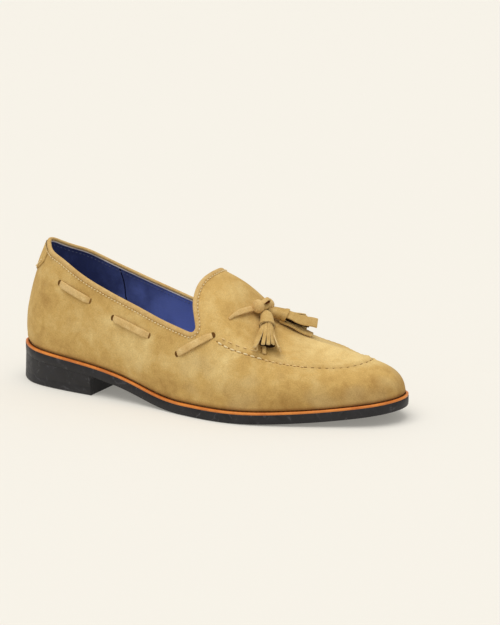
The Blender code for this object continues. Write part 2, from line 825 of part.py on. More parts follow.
def knot_frame():
    """The knot's centre and its ways across the shoe, along it and up."""
    foot, up = over_upper(*KNOT_PLACE)
    ahead, _ = over_upper(KNOT_PLACE[0] + 0.01, KNOT_PLACE[1])
    along = unit(ahead - foot)
    across = unit(np.cross(up, along))
    up = np.cross(along, across)
    rise = GAP + LACE_THICK + GAP + KNOT_SHAPE[2] * KNOT_RADIUS + LACE_THICK
    return foot + rise * up, across, along, up


def make_knot():
    """A rounded core with two turns of lace over it."""
    centre, across, along, up = knot_frame()
    axes = np.stack((across, along, up)) * (np.array(KNOT_SHAPE) * KNOT_RADIUS)[:, None]
    ball = bmesh.new()
    bmesh.ops.create_icosphere(ball, subdivisions=2, radius=1)
    core = np.array([vertex.co for vertex in ball.verts]) @ axes + centre
    faces = [[vertex.index for vertex in face.verts] for face in ball.faces]
    ball.free()
    knot = solid("lace_knot", core, faces, "suede_trim")
    angle = full_turn(WRAP_STEPS)
    section = strap_outline(LACE_WIDTH, LACE_THICK)
    wraps = []
    for number, (lean, aside) in enumerate(WRAPS):
        middle = centre + aside * axes[0]
        way = math.cos(lean) * axes[1] + math.sin(lean) * axes[0]
        ring = middle + WRAP_SINK * (np.cos(angle)[:, None] * way + np.sin(angle)[:, None] * axes[2])
        outward = unit(ring - middle)
        sides = unit(np.cross(np.roll(ring, -1, axis=0) - np.roll(ring, 1, axis=0), outward))
        wraps.append(solid(f"knot_wrap_{number}", *sweep(ring, sides, outward, section, closed=True)))
    join_all(knot, wraps)


def tassel_way(route):
    """A tassel's way over the upper: points, normals, and the distance run so far."""
    plan, _ = smooth_path(np.array(route), np.array(route), ROUTE_STEPS)
    path, ups = (np.array(rows) for rows in zip(*(over_upper(*place) for place in plan)))
    steps = np.linalg.norm(np.diff(path, axis=0), axis=1)
    return path, ups, np.concatenate(([0], np.cumsum(steps)))


def lay(way, distance, sideways, height):
    """Points over the upper beside a tassel's way, with the ways to the side and up."""
    path, ups, run = way
    foot = np.stack([np.interp(distance, run, column) for column in path.T], axis=1)
    up = unit(np.stack([np.interp(distance, run, column) for column in ups.T], axis=1))
    side = unit(np.cross(np.gradient(foot, axis=0), up))
    dropped = [drop(point[:2]) for point in foot + sideways[:, None] * side]
    foot, up = (np.array(rows) for rows in zip(*dropped))
    return foot + height[:, None] * up, side, up


def make_tassels():
    """Each is a wrapped cap with its strips fanned out and settling on the upper."""
    angle = full_turn(CAP_STEPS)
    circle = np.stack((np.cos(angle), np.sin(angle)), axis=1)
    width = np.array(CAP_SHAPE) * CAP_RADIUS
    lift = CAP_RADIUS + 2 * GAP + LACE_THICK
    for name, (share, route) in TASSELS.items():
        way = tassel_way(route)
        fringe = way[2][-1] - CAP_LENGTH
        distance = np.linspace(0, CAP_LENGTH, len(width))
        centre_line, side, up = lay(way, distance, 0 * distance, lift + 0 * distance)
        made = sweep(centre_line, side, up, circle * width[:, None, None])
        cap = solid(f"tassel_{name}", *made, "suede_trim")
        strips = []
        for number, (aside, layer, length) in enumerate(STRIPS):
            part_way = np.linspace(0, 1, STRIP_STEPS)
            distance = CAP_LENGTH * (1 - STRIP_ROOT) + part_way * (fringe * length + STRIP_ROOT * CAP_LENGTH)
            fan = aside * FRINGE_SPREAD * share * (FAN_START + (1 - FAN_START) * part_way)
            root = lift - CAP_RADIUS + CAP_RADIUS * (ROOT_LOW + ROOT_STEP * layer)
            laid = GAP + (layer + LAID_LIFT) * STRIP_THICK
            settle = np.clip(part_way * SETTLE_RATE, 0, 1) ** 1.5
            line, _, strip_ups = lay(way, distance, fan, root * (1 - settle) + laid * settle)
            made = strap(line, strip_ups, STRIP_WIDTH, STRIP_THICK, end_share=0.9)
            strips.append(solid(f"strip_{name}_{number}", *made))
        join_all(cap, strips)


def main():
    for old in list(bpy.data.objects):
        bpy.data.objects.remove(old, do_unlink=True)
    make_outsole()
    make_heel()
    make_welt()
    make_insole()
    make_upper_and_binding()
    make_side_laces()
    make_heel_tab()
    make_front_lace()
    make_knot()
    make_tassels()


main()
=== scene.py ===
"""Looks of the suede tassel loafer: nap, blue lining, stitched apron, lacing, tassels, welt and sole.

Metres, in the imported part's frame: +X to the toe, +Y to the medial side, +Z up. The shape functions
repeat the part's own. They count x from the sole's back edge, and put_origin moves each mesh.
"""

import math

import bpy
import numpy as np
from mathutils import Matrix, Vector, noise

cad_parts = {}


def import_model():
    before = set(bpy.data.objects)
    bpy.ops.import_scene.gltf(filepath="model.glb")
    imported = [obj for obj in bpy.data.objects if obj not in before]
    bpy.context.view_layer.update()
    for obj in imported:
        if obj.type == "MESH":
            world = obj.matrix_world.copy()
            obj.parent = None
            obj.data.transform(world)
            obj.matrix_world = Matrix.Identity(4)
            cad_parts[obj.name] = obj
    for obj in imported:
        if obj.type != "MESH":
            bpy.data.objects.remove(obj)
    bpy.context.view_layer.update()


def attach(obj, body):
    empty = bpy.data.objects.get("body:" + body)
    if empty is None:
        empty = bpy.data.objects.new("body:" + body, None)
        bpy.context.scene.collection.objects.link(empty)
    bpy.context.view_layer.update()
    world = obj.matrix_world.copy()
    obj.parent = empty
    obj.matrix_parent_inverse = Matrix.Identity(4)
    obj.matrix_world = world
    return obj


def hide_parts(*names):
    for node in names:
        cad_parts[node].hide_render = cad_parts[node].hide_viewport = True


# Sole
LENGTH = 0.300  # outsole, heel to toe
BALL_WIDTH = 0.104  # outsole across the ball
SOLE_THICK = 0.0063
HEEL_LIFT = 0.0196  # underside of the outsole above the floor, at the back
HEEL_BREAST = 0.246  # front face of the heel, as a share of the length
HEEL_RAKE = 0.0012  # how far the heel's foot stands behind its top
HEEL_TAPER = 0.0008  # how far its sides draw in towards the floor
TOE_SPRING = 0.0097
FLAT_START, FLAT_END = 0.53, 0.63  # the sole lies flat on the floor between these shares
WELT_THICK = 0.0025
WELT_SHOW = 0.0028  # what shows of the welt outside the upper
GAP = 0.0003  # clearance between touching pieces

# Upper, heights above the welt
WALL = 0.0020
BACK_HEIGHT = 0.0782  # collar at the centre back
INSTEP_HEIGHT = 0.0850  # top of the tongue
RIDGE_BACK, RIDGE_FRONT = 0.250, 0.773  # the sections' tops run between these shares of the length
RIDGE_SHIFT = 0.0050  # the instep lies this far to the medial side
INSOLE_PROUD = 0.0015

# Trim
BINDING_HEIGHT = 0.0040
BINDING_PROUD = 0.0004
TAB_HEIGHT = 0.0270
TAB_THICK = 0.0010
TAB_TURN = 0.150  # half of the heel tab, as a share of half a turn
TAB_ROUND = 0.90  # 1 draws the tab's sides in to a point, 0 leaves its foot level
LACE_WIDTH = 0.0044
LACE_THICK = 0.0013
CAP_LENGTH = 0.0120
CAP_RADIUS = 0.0047
FRINGE_SPREAD = 0.0095
STRIP_THICK = 0.0014

GRID_TURNS, GRID_ROWS = 720, 121  # lookup of the upper's surface

OUTLINE = (
    # along, lateral and medial half width as shares of half the ball width
    (0.000, 0.000, 0.000),
    (0.020, 0.230, 0.240),
    (0.060, 0.435, 0.430),
    (0.130, 0.575, 0.570),
    (0.220, 0.660, 0.625),
    (0.330, 0.735, 0.600),
    (0.430, 0.845, 0.585),
    (0.530, 0.985, 0.700),
    (0.630, 1.055, 0.900),
    (0.710, 0.985, 0.985),
    (0.770, 0.865, 0.960),
    (0.840, 0.705, 0.870),
    (0.900, 0.550, 0.730),
    (0.950, 0.395, 0.560),
    (0.985, 0.195, 0.360),
    (1.000, -0.080, 0.080),
)
UNDERSIDE = (
    # along, height as a share of the heel lift
    (0.00, 1.000),
    (0.12, 0.878),
    (0.25, 0.709),
    (0.36, 0.408),
    (0.45, 0.082),
    (0.53, 0.000),
    (0.61, 0.082),
)
RIDGE = (
    # along, height of the sections' tops as a share of the instep height
    (0.22, 1.418),
    (0.30, 1.341),
    (0.38, 1.255),
    (0.46, 1.145),
    (0.53, 0.985),
    (0.58, 0.890),
    (0.64, 0.690),
    (0.70, 0.557),
    (0.76, 0.465),
    (0.82, 0.428),
)
SECTIONS = (
    # along, wall roundness, top roundness, lateral and medial bulge of the wall
    (0.00, 2.0, 1.6, 0.050, 0.050),
    (0.12, 2.0, 1.7, 0.050, 0.060),
    (0.30, 2.2, 1.9, 0.060, 0.160),
    (0.45, 2.2, 2.0, 0.060, 0.180),
    (0.60, 2.1, 2.0, 0.030, 0.050),
    (0.75, 2.2, 2.0, 0.040, 0.040),
    (0.90, 2.4, 2.0, 0.030, 0.030),
    (1.00, 2.4, 2.0, 0.010, 0.010),
)
COLLAR = (
    # side view of the opening's edge: along, height as a share of the back height
    (0.040, 1.020),
    (0.070, 1.000),
    (0.085, 0.962),
    (0.102, 0.928),
    (0.137, 0.890),
    (0.172, 0.840),
    (0.204, 0.793),
    (0.266, 0.729),
    (0.325, 0.693),
    (0.383, 0.679),
    (0.441, 0.665),
    (0.498, 0.637),
    (0.522, 0.618),
    (0.534, 0.618),
    (0.5385, 0.640),
    (0.536, 0.680),
    (0.526, 0.758),
    (0.518, 0.825),
    (0.5135, 0.900),
    (0.5125, 0.970),
    (0.516, 1.035),
    (0.527, 1.090),
    (0.545, 1.130),
    (0.570, 1.160),
)
APRON = (
    # the moccasin seam: turn from the heel as a share of half a turn, share of the way up to the ridge
    (0.560, 0.436),
    (0.585, 0.408),
    (0.620, 0.402),
    (0.664, 0.397),
    (0.727, 0.378),
    (0.780, 0.390),
    (0.839, 0.418),
    (0.880, 0.430),
    (0.938, 0.441),
    (1.000, 0.446),
)
SIDE_LACE = (
    # bars of the side lace: turn and share up at the back end, then at the front end
    (0.233, 0.369, 0.317, 0.345),
    (0.376, 0.313, 0.443, 0.322),
    (0.501, 0.297, 0.557, 0.455),
)
FRONT_LACE = (
    # from the lateral slot over the instep to the medial slot: turn, share up, lift in lace thicknesses
    (0.583, 0.617, 0.0),
    (0.600, 0.706, 0.5),
    (0.622, 0.815, 0.8),
    (0.642, 0.915, 0.1),
    (0.660, 1.000, 0.0),
    (1.358, 0.915, 0.1),
    (1.378, 0.815, 0.8),
    (1.400, 0.706, 0.5),
    (1.417, 0.617, 0.0),
)
KNOT_PLACE = (0.642, -0.03)  # along, and across as a share of half the ball width

TASSELS = {
    # name: share of the spread, and the way it lies: along, across
    "lateral": (1.00, ((0.659, -0.12), (0.670, -0.23), (0.687, -0.42), (0.707, -0.63))),
    "medial": (0.92, ((0.663, 0.06), (0.686, 0.10), (0.716, 0.17), (0.748, 0.27))),
}

# Looks: sizes that only the render has
RIM_FINE = 440  # places round the collar
WELT_FINE = 480  # places round the welt and the sole
THREAD = 0.00040  # half the thickness of the collar's thread
THICK_THREAD = 0.00058  # half the thickness of the apron's thread
BEAD_STEPS = 6  # places along a stitch, and round it
BEAD_DIP, BEAD_POINT = 5.0, 1.9  # how much a stitch dips towards its ends, and tapers
HAND_PITCH, HAND_STITCH = 0.0049, 0.0033  # the apron's hand stitches
EDGE_PITCH, EDGE_STITCH = 0.0027, 0.0016  # the collar's machine stitches
WELT_PITCH, WELT_STITCH, WELT_THREAD = 0.0031, 0.0021, 0.00022
TOP_ROW = 0.0043  # the apron's upper row of stitches above the seam
TOP_STITCHES = 6  # stitches in the upper row, from the throat
TOP_PITCH_SHARE, TOP_LIFT = 0.98, 0.0004  # their pitch beside the hand stitches', and how far they stand off
PALE_UNTIL = 16  # the stitches farther from the toe than this are pale and long
PLAIN_TOE = 10  # this many stitches each side of the toe sink into the puckers
PALE_SIZE, TAN_SIZE = 1.1, 0.80  # the pale stitches' size, and that of the ones ahead of them
HAND_LIFT = 0.0001
SEAM_LIFT = 0.0001  # the hand stitches lie this far above the seam's middle
HOLE_SIZE, NOTCH_SIZE = (0.00062, 0.00048), (0.00100, 0.00066)  # half sizes of the painted shade of the stitch holes and toe notches, along the seam and across it
HOLE_LIFT = 0.00012
SLOT_SIZE = (0.0016, 0.0021)  # half sizes of the painted shade in the lace's slots, along the lace and across it
SLOT_SHIFT = 0.0013  # the slot's middle past the lace's end
TIGHT_SIZE, TIGHT_SHIFT = (0.0010, 0.0021), 0.0010  # the same for the paler painted shade where the lace lies tight over its slot
SLOT_LIFT = 0.00045
BAR_RINGS = 34
BAR_FULLER = 1.15  # the side lace's width beside the solid's
BAR_END, BAR_END_RUN = 0.78, 0.0040  # it narrows to this share at its ends, over this run
BAR_SINK, BAR_SINK_RUN = 0.0006, 0.0030  # and dips into its slots
BAR_ARCH = 0.0007  # its middle stands off the suede
SOFT_EDGE = 0.0009  # the heel tab's edge rises over this run
TAB_SHARE = 0.84  # how much of the heel tab's width its soft edge leaves
TAB_LAP = 0.0008  # it runs up under the binding
TAB_ROW = 0.0019  # its stitches lie this far from its edge
TAB_ROW_SHARE = 0.86  # and reach this share of the way to its sides
TAB_ROW_CURVE = 0.97  # and how much of its sides' curve they follow
TAB_ROW_LIFT = 0.0002
TAB_GROOVE, TAB_GROOVE_REACH = 0.0002, 0.0006  # they draw it in
TAB_EDGE_SHADE, TAB_EDGE_SHADE_REACH = 0.35, 0.0005  # painted shade along its edge, where it steps down onto the wall
TAB_TONE = -0.1
TAB_FINE = (40, 61)  # places down it and across
HEEL_RADIUS = 0.032  # the upper's radius behind the heel
WELT_WORN = 0.0008  # the welt's top is dressed down this far, and the suede rolls down over it
INSOLE_TUCK = 0.0011  # the sock's border runs in under the lining
TOPLINE_ROW = 0.0040  # the collar's row of stitches below the rim
TOPLINE_LIFT = 0.00026
LINING_ROW, LINING_ROW_PROUD = 0.0052, 0.00025  # the same on the lining, and how far it stands off it
LINING_PITCH_SHARE, LINING_THREAD_SHARE = 1.1, 0.6  # its stitches beside the collar's
LINING_BEAD, LINING_BEAD_PROUD = 0.0026, 0.00015  # the lining's pale top edge
LINING_BEAD_RADIUS = 0.00048
SEAM_GROOVE, SEAM_GROOVE_PROUD = (0.00045, 0.00016), 0.00012  # half sizes of the dark groove of painted shade in the lining's seam
LINING_SEAM = (
    # a seam across the lining: turn and share up
    (1.672, 0.05),
    (1.678, 0.25),
    (1.683, 0.30),
    (1.689, 0.365),
    (1.700, 0.42),
    (1.706, 0.445),
)

# Upper's fineness and relief
THROAT_TURN = 0.54
UPPER_FINE = (150, 261)  # places on each side behind the throat, and ahead of it
UPPER_ROWS = (46, 64)  # places up the wall below the seam, and above it
LINING_FINE = (181, 60)  # places on each side, and up the wall
SUEDE_CUT, LINING_CUT = 0.0012, 0.0016  # they end this far below the rim, inside the binding
SEAM_START = (0.548, 0.585)  # the moccasin seam fades in between these turns
PLUG_RISE = 0.00095  # the apron's rolled edge above the seam
PLUG_FOOT, PLUG_BACK = (-0.0003, 0.0012), (0.0030, 0.0052)  # it climbs and falls between these distances
LOBE_RISE, LOBE_BELOW, LOBE_REACH = 0.00048, 0.0014, 0.0010  # the puckered wall below the seam
LOBE_EVEN = 0.35  # how much of it runs on between the puckers
GROOVE_DEPTH, GROOVE_REACH = 0.00050, 0.0006  # the seam itself
PUCKER_RISE = 0.00018  # the puckers on the roll
ROW_DEPTH, ROW_REACH = 0.00004, 0.0009  # the upper row of stitches draws the suede in
SLOT_DEPTH, SLOT_REACH = 0.0006, 0.0026  # the suede dips at a slot
WAVES = ((0.00013, 0.030, 1), (0.00004, 0.011, 2))  # unevenness: height, wave length and seed
LINING_WAVE, BINDING_WAVE = (0.0002, 0.024, 6), (0.0001, 0.012, 8)
RELIEF_FADE = 0.004  # the relief fades out this near the welt
BAND_FOOT = 0.0034  # the binding's lower edge below the rim
DENT_DEPTH, DENT_BELOW, DENT_REACH = 0.00025, 0.0008, 0.0012  # the binding presses the suede below it
TUCK_DEPTH, TUCK_REACH = 0.0006, 0.0012  # the suede's foot turns in
SWELL_RISE, SWELL_REACH, SWELL_START = 0.0007, 0.0050, (-0.0006, 0.0014)  # and swells over the welt
FOOT_LAP = 0.0006  # and comes down past the welt's worn top
SHADE_AT_WELT, SHADE_AT_WELT_CLIMB = 0.75, (0.0003, 0.0035)  # painted shade on the suede at the welt, and where it fades
# painted shade in the seam's groove and the turns where it fades in; painted shade under the binding's lower
# edge
SHADE_IN_SEAM, SHADE_IN_SEAM_REACH, SHADE_IN_SEAM_START = 0.25, 0.0007, (0.55, 0.58)
SHADE_UNDER_BAND, SHADE_UNDER_BAND_REACH = 0.22, 0.0006
MOTTLE = ((0.18, 0.018, 4), (0.24, 0.007, 9))  # the nap's cloudiness: tone, size and seed
LOW_SHADE, LOW_SHADE_AHEAD = 0.30, 0.25  # painted shade near the welt, and how much more of it ahead
LOW_SHADE_REACH, AHEAD = 0.028, (0.10, 0.22)
CREASES = (
    # soft troughs: turn and share up at both ends, half width and depth; a negative depth is a ridge
    (0.470, 0.300, 0.530, 0.560, 0.0050, 0.00021),
    (0.560, 0.500, 0.600, 0.620, 0.0060, 0.00018),
    (0.440, 0.240, 0.540, 0.210, 0.0080, 0.00015),
    (0.330, 0.220, 0.420, 0.120, 0.0100, 0.00018),
    (0.200, 0.250, 0.300, 0.160, 0.0090, 0.00015),
    (0.120, 0.420, 0.160, 0.200, 0.0080, 0.00015),
    (0.060, 0.160, 0.200, 0.080, 0.0060, -0.00012),
    (0.620, 0.240, 0.720, 0.180, 0.0110, 0.00018),
    (0.600, 0.100, 0.700, 0.080, 0.0070, -0.00012),
    (0.760, 0.520, 0.860, 0.700, 0.0110, 0.00015),
    (0.680, 0.760, 0.760, 0.660, 0.0070, 0.00015),
    (1.470, 0.300, 1.530, 0.560, 0.0050, 0.00021),
    (1.560, 0.240, 1.700, 0.200, 0.0110, 0.00018),
    (1.300, 0.240, 1.400, 0.200, 0.0110, 0.00018),
)
NAP_AND_PAINTED_LIGHT_PATCHES = (
    # light and dark patches, partly the nap's own tone and partly painted light and shade: turn, share up,
    # reach, tone
    (0.120, 0.300, 0.016, -0.25),
    (0.200, 0.160, 0.014, 0.25),
    (0.222, 0.230, 0.018, -0.45),
    (0.300, 0.400, 0.012, -0.20),
    (0.360, 0.180, 0.018, 0.25),
    (0.430, 0.200, 0.014, 0.35),
    (0.500, 0.160, 0.014, -0.15),
    (0.560, 0.260, 0.016, 0.30),
    (0.700, 0.122, 0.030, -0.28),
    (0.720, 0.240, 0.016, 0.20),
    (0.806, 0.178, 0.020, -0.25),
    (0.894, 0.640, 0.018, 0.20),
    (0.760, 0.720, 0.014, 0.15),
    (0.530, 0.780, 0.016, -0.35),
    (0.600, 0.920, 0.016, 0.30),
    (1.500, 0.250, 0.020, -0.30),
    (1.700, 0.200, 0.022, 0.30),
    (1.250, 0.200, 0.020, -0.30),
    (1.130, 0.640, 0.022, 0.80),
    (1.440, 0.860, 0.020, -0.30),
)

# Front lace, knot and tassels
FRONT_RINGS = 81
FRONT_LIFT = 0.0004  # play under the lace
FRONT_DIP, FRONT_DIP_RUN = 0.0014, 0.0035  # it dives into its slots
FRONT_ROLL = 0.55  # it stands on edge by this many radians at a slot
FRONT_END, FRONT_END_RUN = 0.45, 0.012  # it narrows to this share at a slot, over this run
KNOT_RISE = 0.0060  # the knot's middle over the suede
KNOT_CORE = (0.0066, 0.0030, 0.0022)  # half sizes across the shoe, along it and upwards
KNOT_TURNS = (
    # lean in radians, place across the shoe and along it, width of the turn, its half sizes along and up
    (-0.45, -0.0064, -0.0018, 0.0054, 0.0038, 0.0035),
    (0.50, 0.0046, 0.0000, 0.0050, 0.0036, 0.0031),
)
TURN_THICK, TURN_CROWN, TURN_SINK = 0.0018, 0.0010, 0.0006  # how its sides fall off, how deep it lies
TURN_FILL = (0.60, 0.97, 0.97)  # the lump inside a turn, as shares of its width and half sizes
KNOT_HOLLOW = (0.0029, 0.0011, 0.0007)  # half sizes of a dark lump of painted shade in the space between the turns and the loop
KNOT_HOLLOW_UP = 0.0036  # its place over the knot's middle
KNOT_LOOP = (0.0058, 0.0047, 0.0030, 0.0010)  # the loop's half width, height, band width, place behind
LOOP_THICK = 0.0011
CAP_FULLER = 1.10  # the suede cap's girth beside the solid's
CAP_START = -0.0042  # it starts this far before the tassel's way, in the knot
CAP_SWELL = ((-0.35, -0.15, 0.1, 0.6, 1.0), (0.62, 0.80, 0.90, 1.0, 1.06))  # place along it, girth
CAP_RINGS = 26
CAP_MOUTH = ((0.0, 0.86), (0.0030, 0.80), (0.0060, 0.5))  # its inside: depth and share of its girth
CUFF_RINGS, CUFF_FULLER = 6, 1.07  # the last rings of the cap carry the cuff
CAP_SHARE = {"lateral": 1.0, "medial": 0.80}  # how much of the solid's cap shows as a cap
TASSEL_LIFT = {"lateral": 0.0, "medial": 0.0042}  # how far the fringe's end stands off the suede
LOW_LIFT = 0.05  # the share of that for the strips below
STRANDS = {
    # each strip: angle round the fringe, angle that it faces, width, length, flare and curl at the tip
    "lateral": (
        (124, 122, 0.0030, 0.84, 0.0000, 0.0002),
        (92, 92, 0.0028, 0.88, 0.0005, 0.0003),
        (60, 62, 0.0030, 0.86, 0.0000, 0.0003),
        (28, 44, 0.0028, 1.00, 0.0026, 0.0004),
        (4, 30, 0.0030, 1.04, 0.0030, -0.0030),
        (154, 138, 0.0026, 0.98, 0.0020, 0.0002),
        (178, 156, 0.0028, 1.03, 0.0024, -0.0006),
        (-62, -62, 0.0042, 0.60, 0.0000, -0.0004),
        (-118, -118, 0.0042, 0.60, 0.0000, -0.0004),
    ),
    "medial": (
        (48, 48, 0.0078, 1.00, 0.0000, 0.0002),
        (92, 104, 0.0040, 0.62, 0.0022, -0.0006),
        (126, 130, 0.0044, 0.56, 0.0024, 0.0000),
        (-38, 66, 0.0036, 0.97, 0.0022, 0.0000),
        (176, 176, 0.0044, 0.70, 0.0004, 0.0000),
        (-124, -124, 0.0044, 0.80, 0.0000, 0.0000),
    ),
}
INNER_STRANDS = (
    # strips inside the fringe: sideways and height as shares of the cap's radius, length, width
    (0.25, -0.30, 1.02, 0.0026),
)
CAP_CORNERS = 40
CAP_LAP = (0.10, 0.5, 6.2)  # the rolled end: its step in radii, and the angles where it's whole and gone
CAP_TURN, CAP_FLATTER = 0.6, 0.90  # how far round that end lies, and the cap's height beside its width
TASSEL_BEND = 1.2  # a tassel's rise grows with this power of the way
OUTER_RINGS, INNER_RINGS = 30, 16  # places along a strip outside the fringe, and inside it
STRIP_SQUARE = 4.0  # how square a strip's section is
STRIP_ROOTS = (-0.0030, -0.0020, -0.0010)  # outer strips, inner ones and the painted shade inside start in the cap
STRIP_NARROW = ((0, 0.3, 1), (0.66, 0.86, 1.0))  # place along a strip, and its share of the width
STRIP_WAVE = 0.0003
STRIP_CLEAR = 0.0004  # and stays this far above the suede
CURL_FROM, CURL_RUN = 0.7, 0.3  # where along the fringe a strip starts to curl
INNER_SPREAD, INNER_LEAN = 0.4, 0.4  # how far the inner strips spread, and lean
INNER_MIDDLE, INNER_FALL = 0.9, 0.0014  # their height in cap radii, and how much lower their ends lie
FRINGE_ROOT = 0.84  # the fringe's half width at the cap, in cap radii
FRINGE_SHARE = 0.80  # and at its end, as a share of the spread
FRINGE_HIGH, FRINGE_FLATTER = 0.80, 0.0012  # its half height in cap radii, and how much less at its end
FRINGE_MIDDLE, FRINGE_SAG = 0.92, 0.12  # its middle over the suede in cap radii, the share that it sags
FRINGE_PLAY = 0.0006
HOLLOW = (0.78, 0.80)  # the painted shade inside: its length and half width as shares of the fringe's

# Welt and heel
WELT_CREASE = (0.00055, 0.00030)  # half sizes of the dark line of painted shade between the suede and the welt
HEEL_LINE = 0.0058  # a groove between the heel's lifts, above the floor

# Camera, light and floor
CAMERA_AIM = (0.184, 0.0, 0.065)
CAMERA_TURN, CAMERA_RISE, CAMERA_FAR = math.radians(26.2), math.radians(12.9), 1.3
CAMERA_LENS = 107.3
LIGHTS = (
    # name: turn from the shoe's lateral side towards the toe, rise, strength, softness in degrees, colour
    ("key", -15, 76, 2.10, 60, (1.0, 0.975, 0.93)),
    ("fill", 40, 35, 0.22, 80, (1.0, 0.98, 0.95)),
    ("back", 175, 50, 0.22, 70, (1.0, 0.98, 0.96)),
)
WORLD_LIGHT = (1.0, 0.985, 0.955)
WORLD_STRENGTH = 0.43
FLOOR_HALF = 12.0  # metres
PAPER = (0.80, 0.782, 0.735)
GLOW = 0.25  # the share of the floor's brightness that is a backlit studio sheet's own
PAPER_GLOW = (0.930, 0.895, 0.808)


def spline(at, values):
    """A smooth curve through the values, a natural cubic, as a function of the place."""
    at = np.asarray(at, float)
    values = np.asarray(values, float)
    step = np.diff(at)
    rise = np.diff(values) / step
    bands = np.eye(len(at))
    bends = np.zeros(len(at))
    for i in range(1, len(at) - 1):
        bands[i, i - 1 : i + 2] = step[i - 1], 2 * (step[i - 1] + step[i]), step[i]
        bends[i] = 6 * (rise[i] - rise[i - 1])
    bend = np.linalg.solve(bands, bends)

    def value(place):
        place = np.asarray(place, float)
        i = np.clip(np.searchsorted(at, place) - 1, 0, len(step) - 1)
        done, left = place - at[i], at[i + 1] - place
        curved = (bend[i] * left**3 + bend[i + 1] * done**3) / (6 * step[i])
        from_left = (values[i] / step[i] - bend[i] * step[i] / 6) * left
        from_right = (values[i + 1] / step[i] - bend[i + 1] * step[i] / 6) * done
        return curved + from_left + from_right

    return value


def columns(table):
    return [np.array(column) for column in zip(*table)]


def table_splines(table):
    first, *others = columns(table)
    return [spline(first, other) for other in others]


def half_width_splines():
    """Half widths by the angle whose cosine gives the place, which keeps heel and toe round."""
    along, lateral, medial = columns(OUTLINE)
    angle = np.arccos(1 - 2 * along)
    return spline(angle, lateral), spline(angle, medial)


lateral_half, medial_half = half_width_splines()
(underside_share,) = table_splines(UNDERSIDE)
(ridge_share,) = table_splines(RIDGE)
wall_round, top_round, lateral_bulge, medial_bulge = table_splines(SECTIONS)


def underside(x):
    along = x / LENGTH
    toe = TOE_SPRING * (np.clip(along - FLAT_END, 0, 1) / (1 - FLAT_END)) ** 1.9
    heel = HEEL_LIFT * underside_share(along)
    return np.where(along < FLAT_START, heel, toe)


def welt_top(x):
    return underside(x) + SOLE_THICK + WELT_THICK + GAP


def outline(turn):
    """The sole's edge as a loop: turn 0 at the heel, pi at the toe, the lateral side first."""
    turn = np.mod(turn, 2 * math.pi)
    angle = np.where(turn > math.pi, 2 * math.pi - turn, turn)
    half = np.where(turn > math.pi, medial_half(angle), -lateral_half(angle))
    return LENGTH * (1 - np.cos(angle)) / 2, BALL_WIDTH / 2 * half


def inset_outline(turn, inset):
    turn = np.asarray(turn, float)
    x0, y0 = outline(turn - 1e-3)
    x1, y1 = outline(turn + 1e-3)
    x, y = outline(turn)
    run = np.hypot(x1 - x0, y1 - y0)
    return x - inset * (y1 - y0) / run, y + inset * (x1 - x0) / run


def ridge_height(x):
    return welt_top(x) + INSTEP_HEIGHT * ridge_share(x / LENGTH)


def sections(turns, rows):
    """The upper's outside, [turn, row, xyz]: each section climbs from the welt to the ridge."""
    along = (1 - np.cos(turns)) / 2
    foot_x, foot_y = inset_outline(turns, WELT_SHOW)
    foot_z = welt_top(foot_x) + GAP
    top_x = LENGTH * (RIDGE_BACK + (RIDGE_FRONT - RIDGE_BACK) * along)
    top_y = RIDGE_SHIFT * np.sin(math.pi / 2 * along) + 0 * top_x
    top_z = ridge_height(top_x)
    slope = (ridge_height(top_x + 1e-4) - ridge_height(top_x - 1e-4)) / 2e-4
    bulge = np.where(np.sin(turns) < 0, medial_bulge(along), lateral_bulge(along))
    sweep = np.linspace(0, math.pi / 2, 140)
    out = np.abs(np.cos(sweep)) ** (2 / wall_round(along)[:, None])
    up = np.sin(sweep) ** (2 / top_round(along)[:, None])
    out = out * (1 + bulge[:, None] * np.sin(math.pi * up**0.6))
    reach_x, reach_y = (foot_x - top_x)[:, None] * out, (foot_y - top_y)[:, None] * out
    points = np.stack(
        (
            top_x[:, None] + reach_x,
            top_y[:, None] + reach_y,
            foot_z[:, None] + (top_z - foot_z)[:, None] * up + slope[:, None] * reach_x * up**3,
        ),
        axis=2,
    )
    run = np.zeros(points.shape[:2])
    run[:, 1:] = np.cumsum(np.linalg.norm(np.diff(points, axis=1), axis=2), axis=1)
    even = np.empty((len(turns), rows, 3))
    for i, length in enumerate(run):
        at = np.linspace(0, length[-1], rows)
        even[i] = np.stack([np.interp(at, length, points[i, :, k]) for k in range(3)], axis=1)
    return even


def full_turn(count):
    return np.arange(count) * 2 * math.pi / count


def circle_points(count):
    angle = full_turn(count)
    return np.stack((np.cos(angle), np.sin(angle)), axis=1)


def unit(vectors):
    return vectors / np.linalg.norm(vectors, axis=-1, keepdims=True)


def surface_lookup():
    """Points and outward normals of the upper's outside on an even grid of turn and share up."""
    turns = full_turn(GRID_TURNS)
    points = sections(turns, GRID_ROWS)
    around = np.roll(points, -1, axis=0) - np.roll(points, 1, axis=0)
    normals = unit(np.cross(around, np.gradient(points, axis=1)))
    mirrored = (-np.arange(GRID_TURNS)) % GRID_TURNS
    normals[:, -1] = unit(normals[:, -2] + normals[mirrored, -2])
    return points, normals


grid_points, grid_normals = surface_lookup()


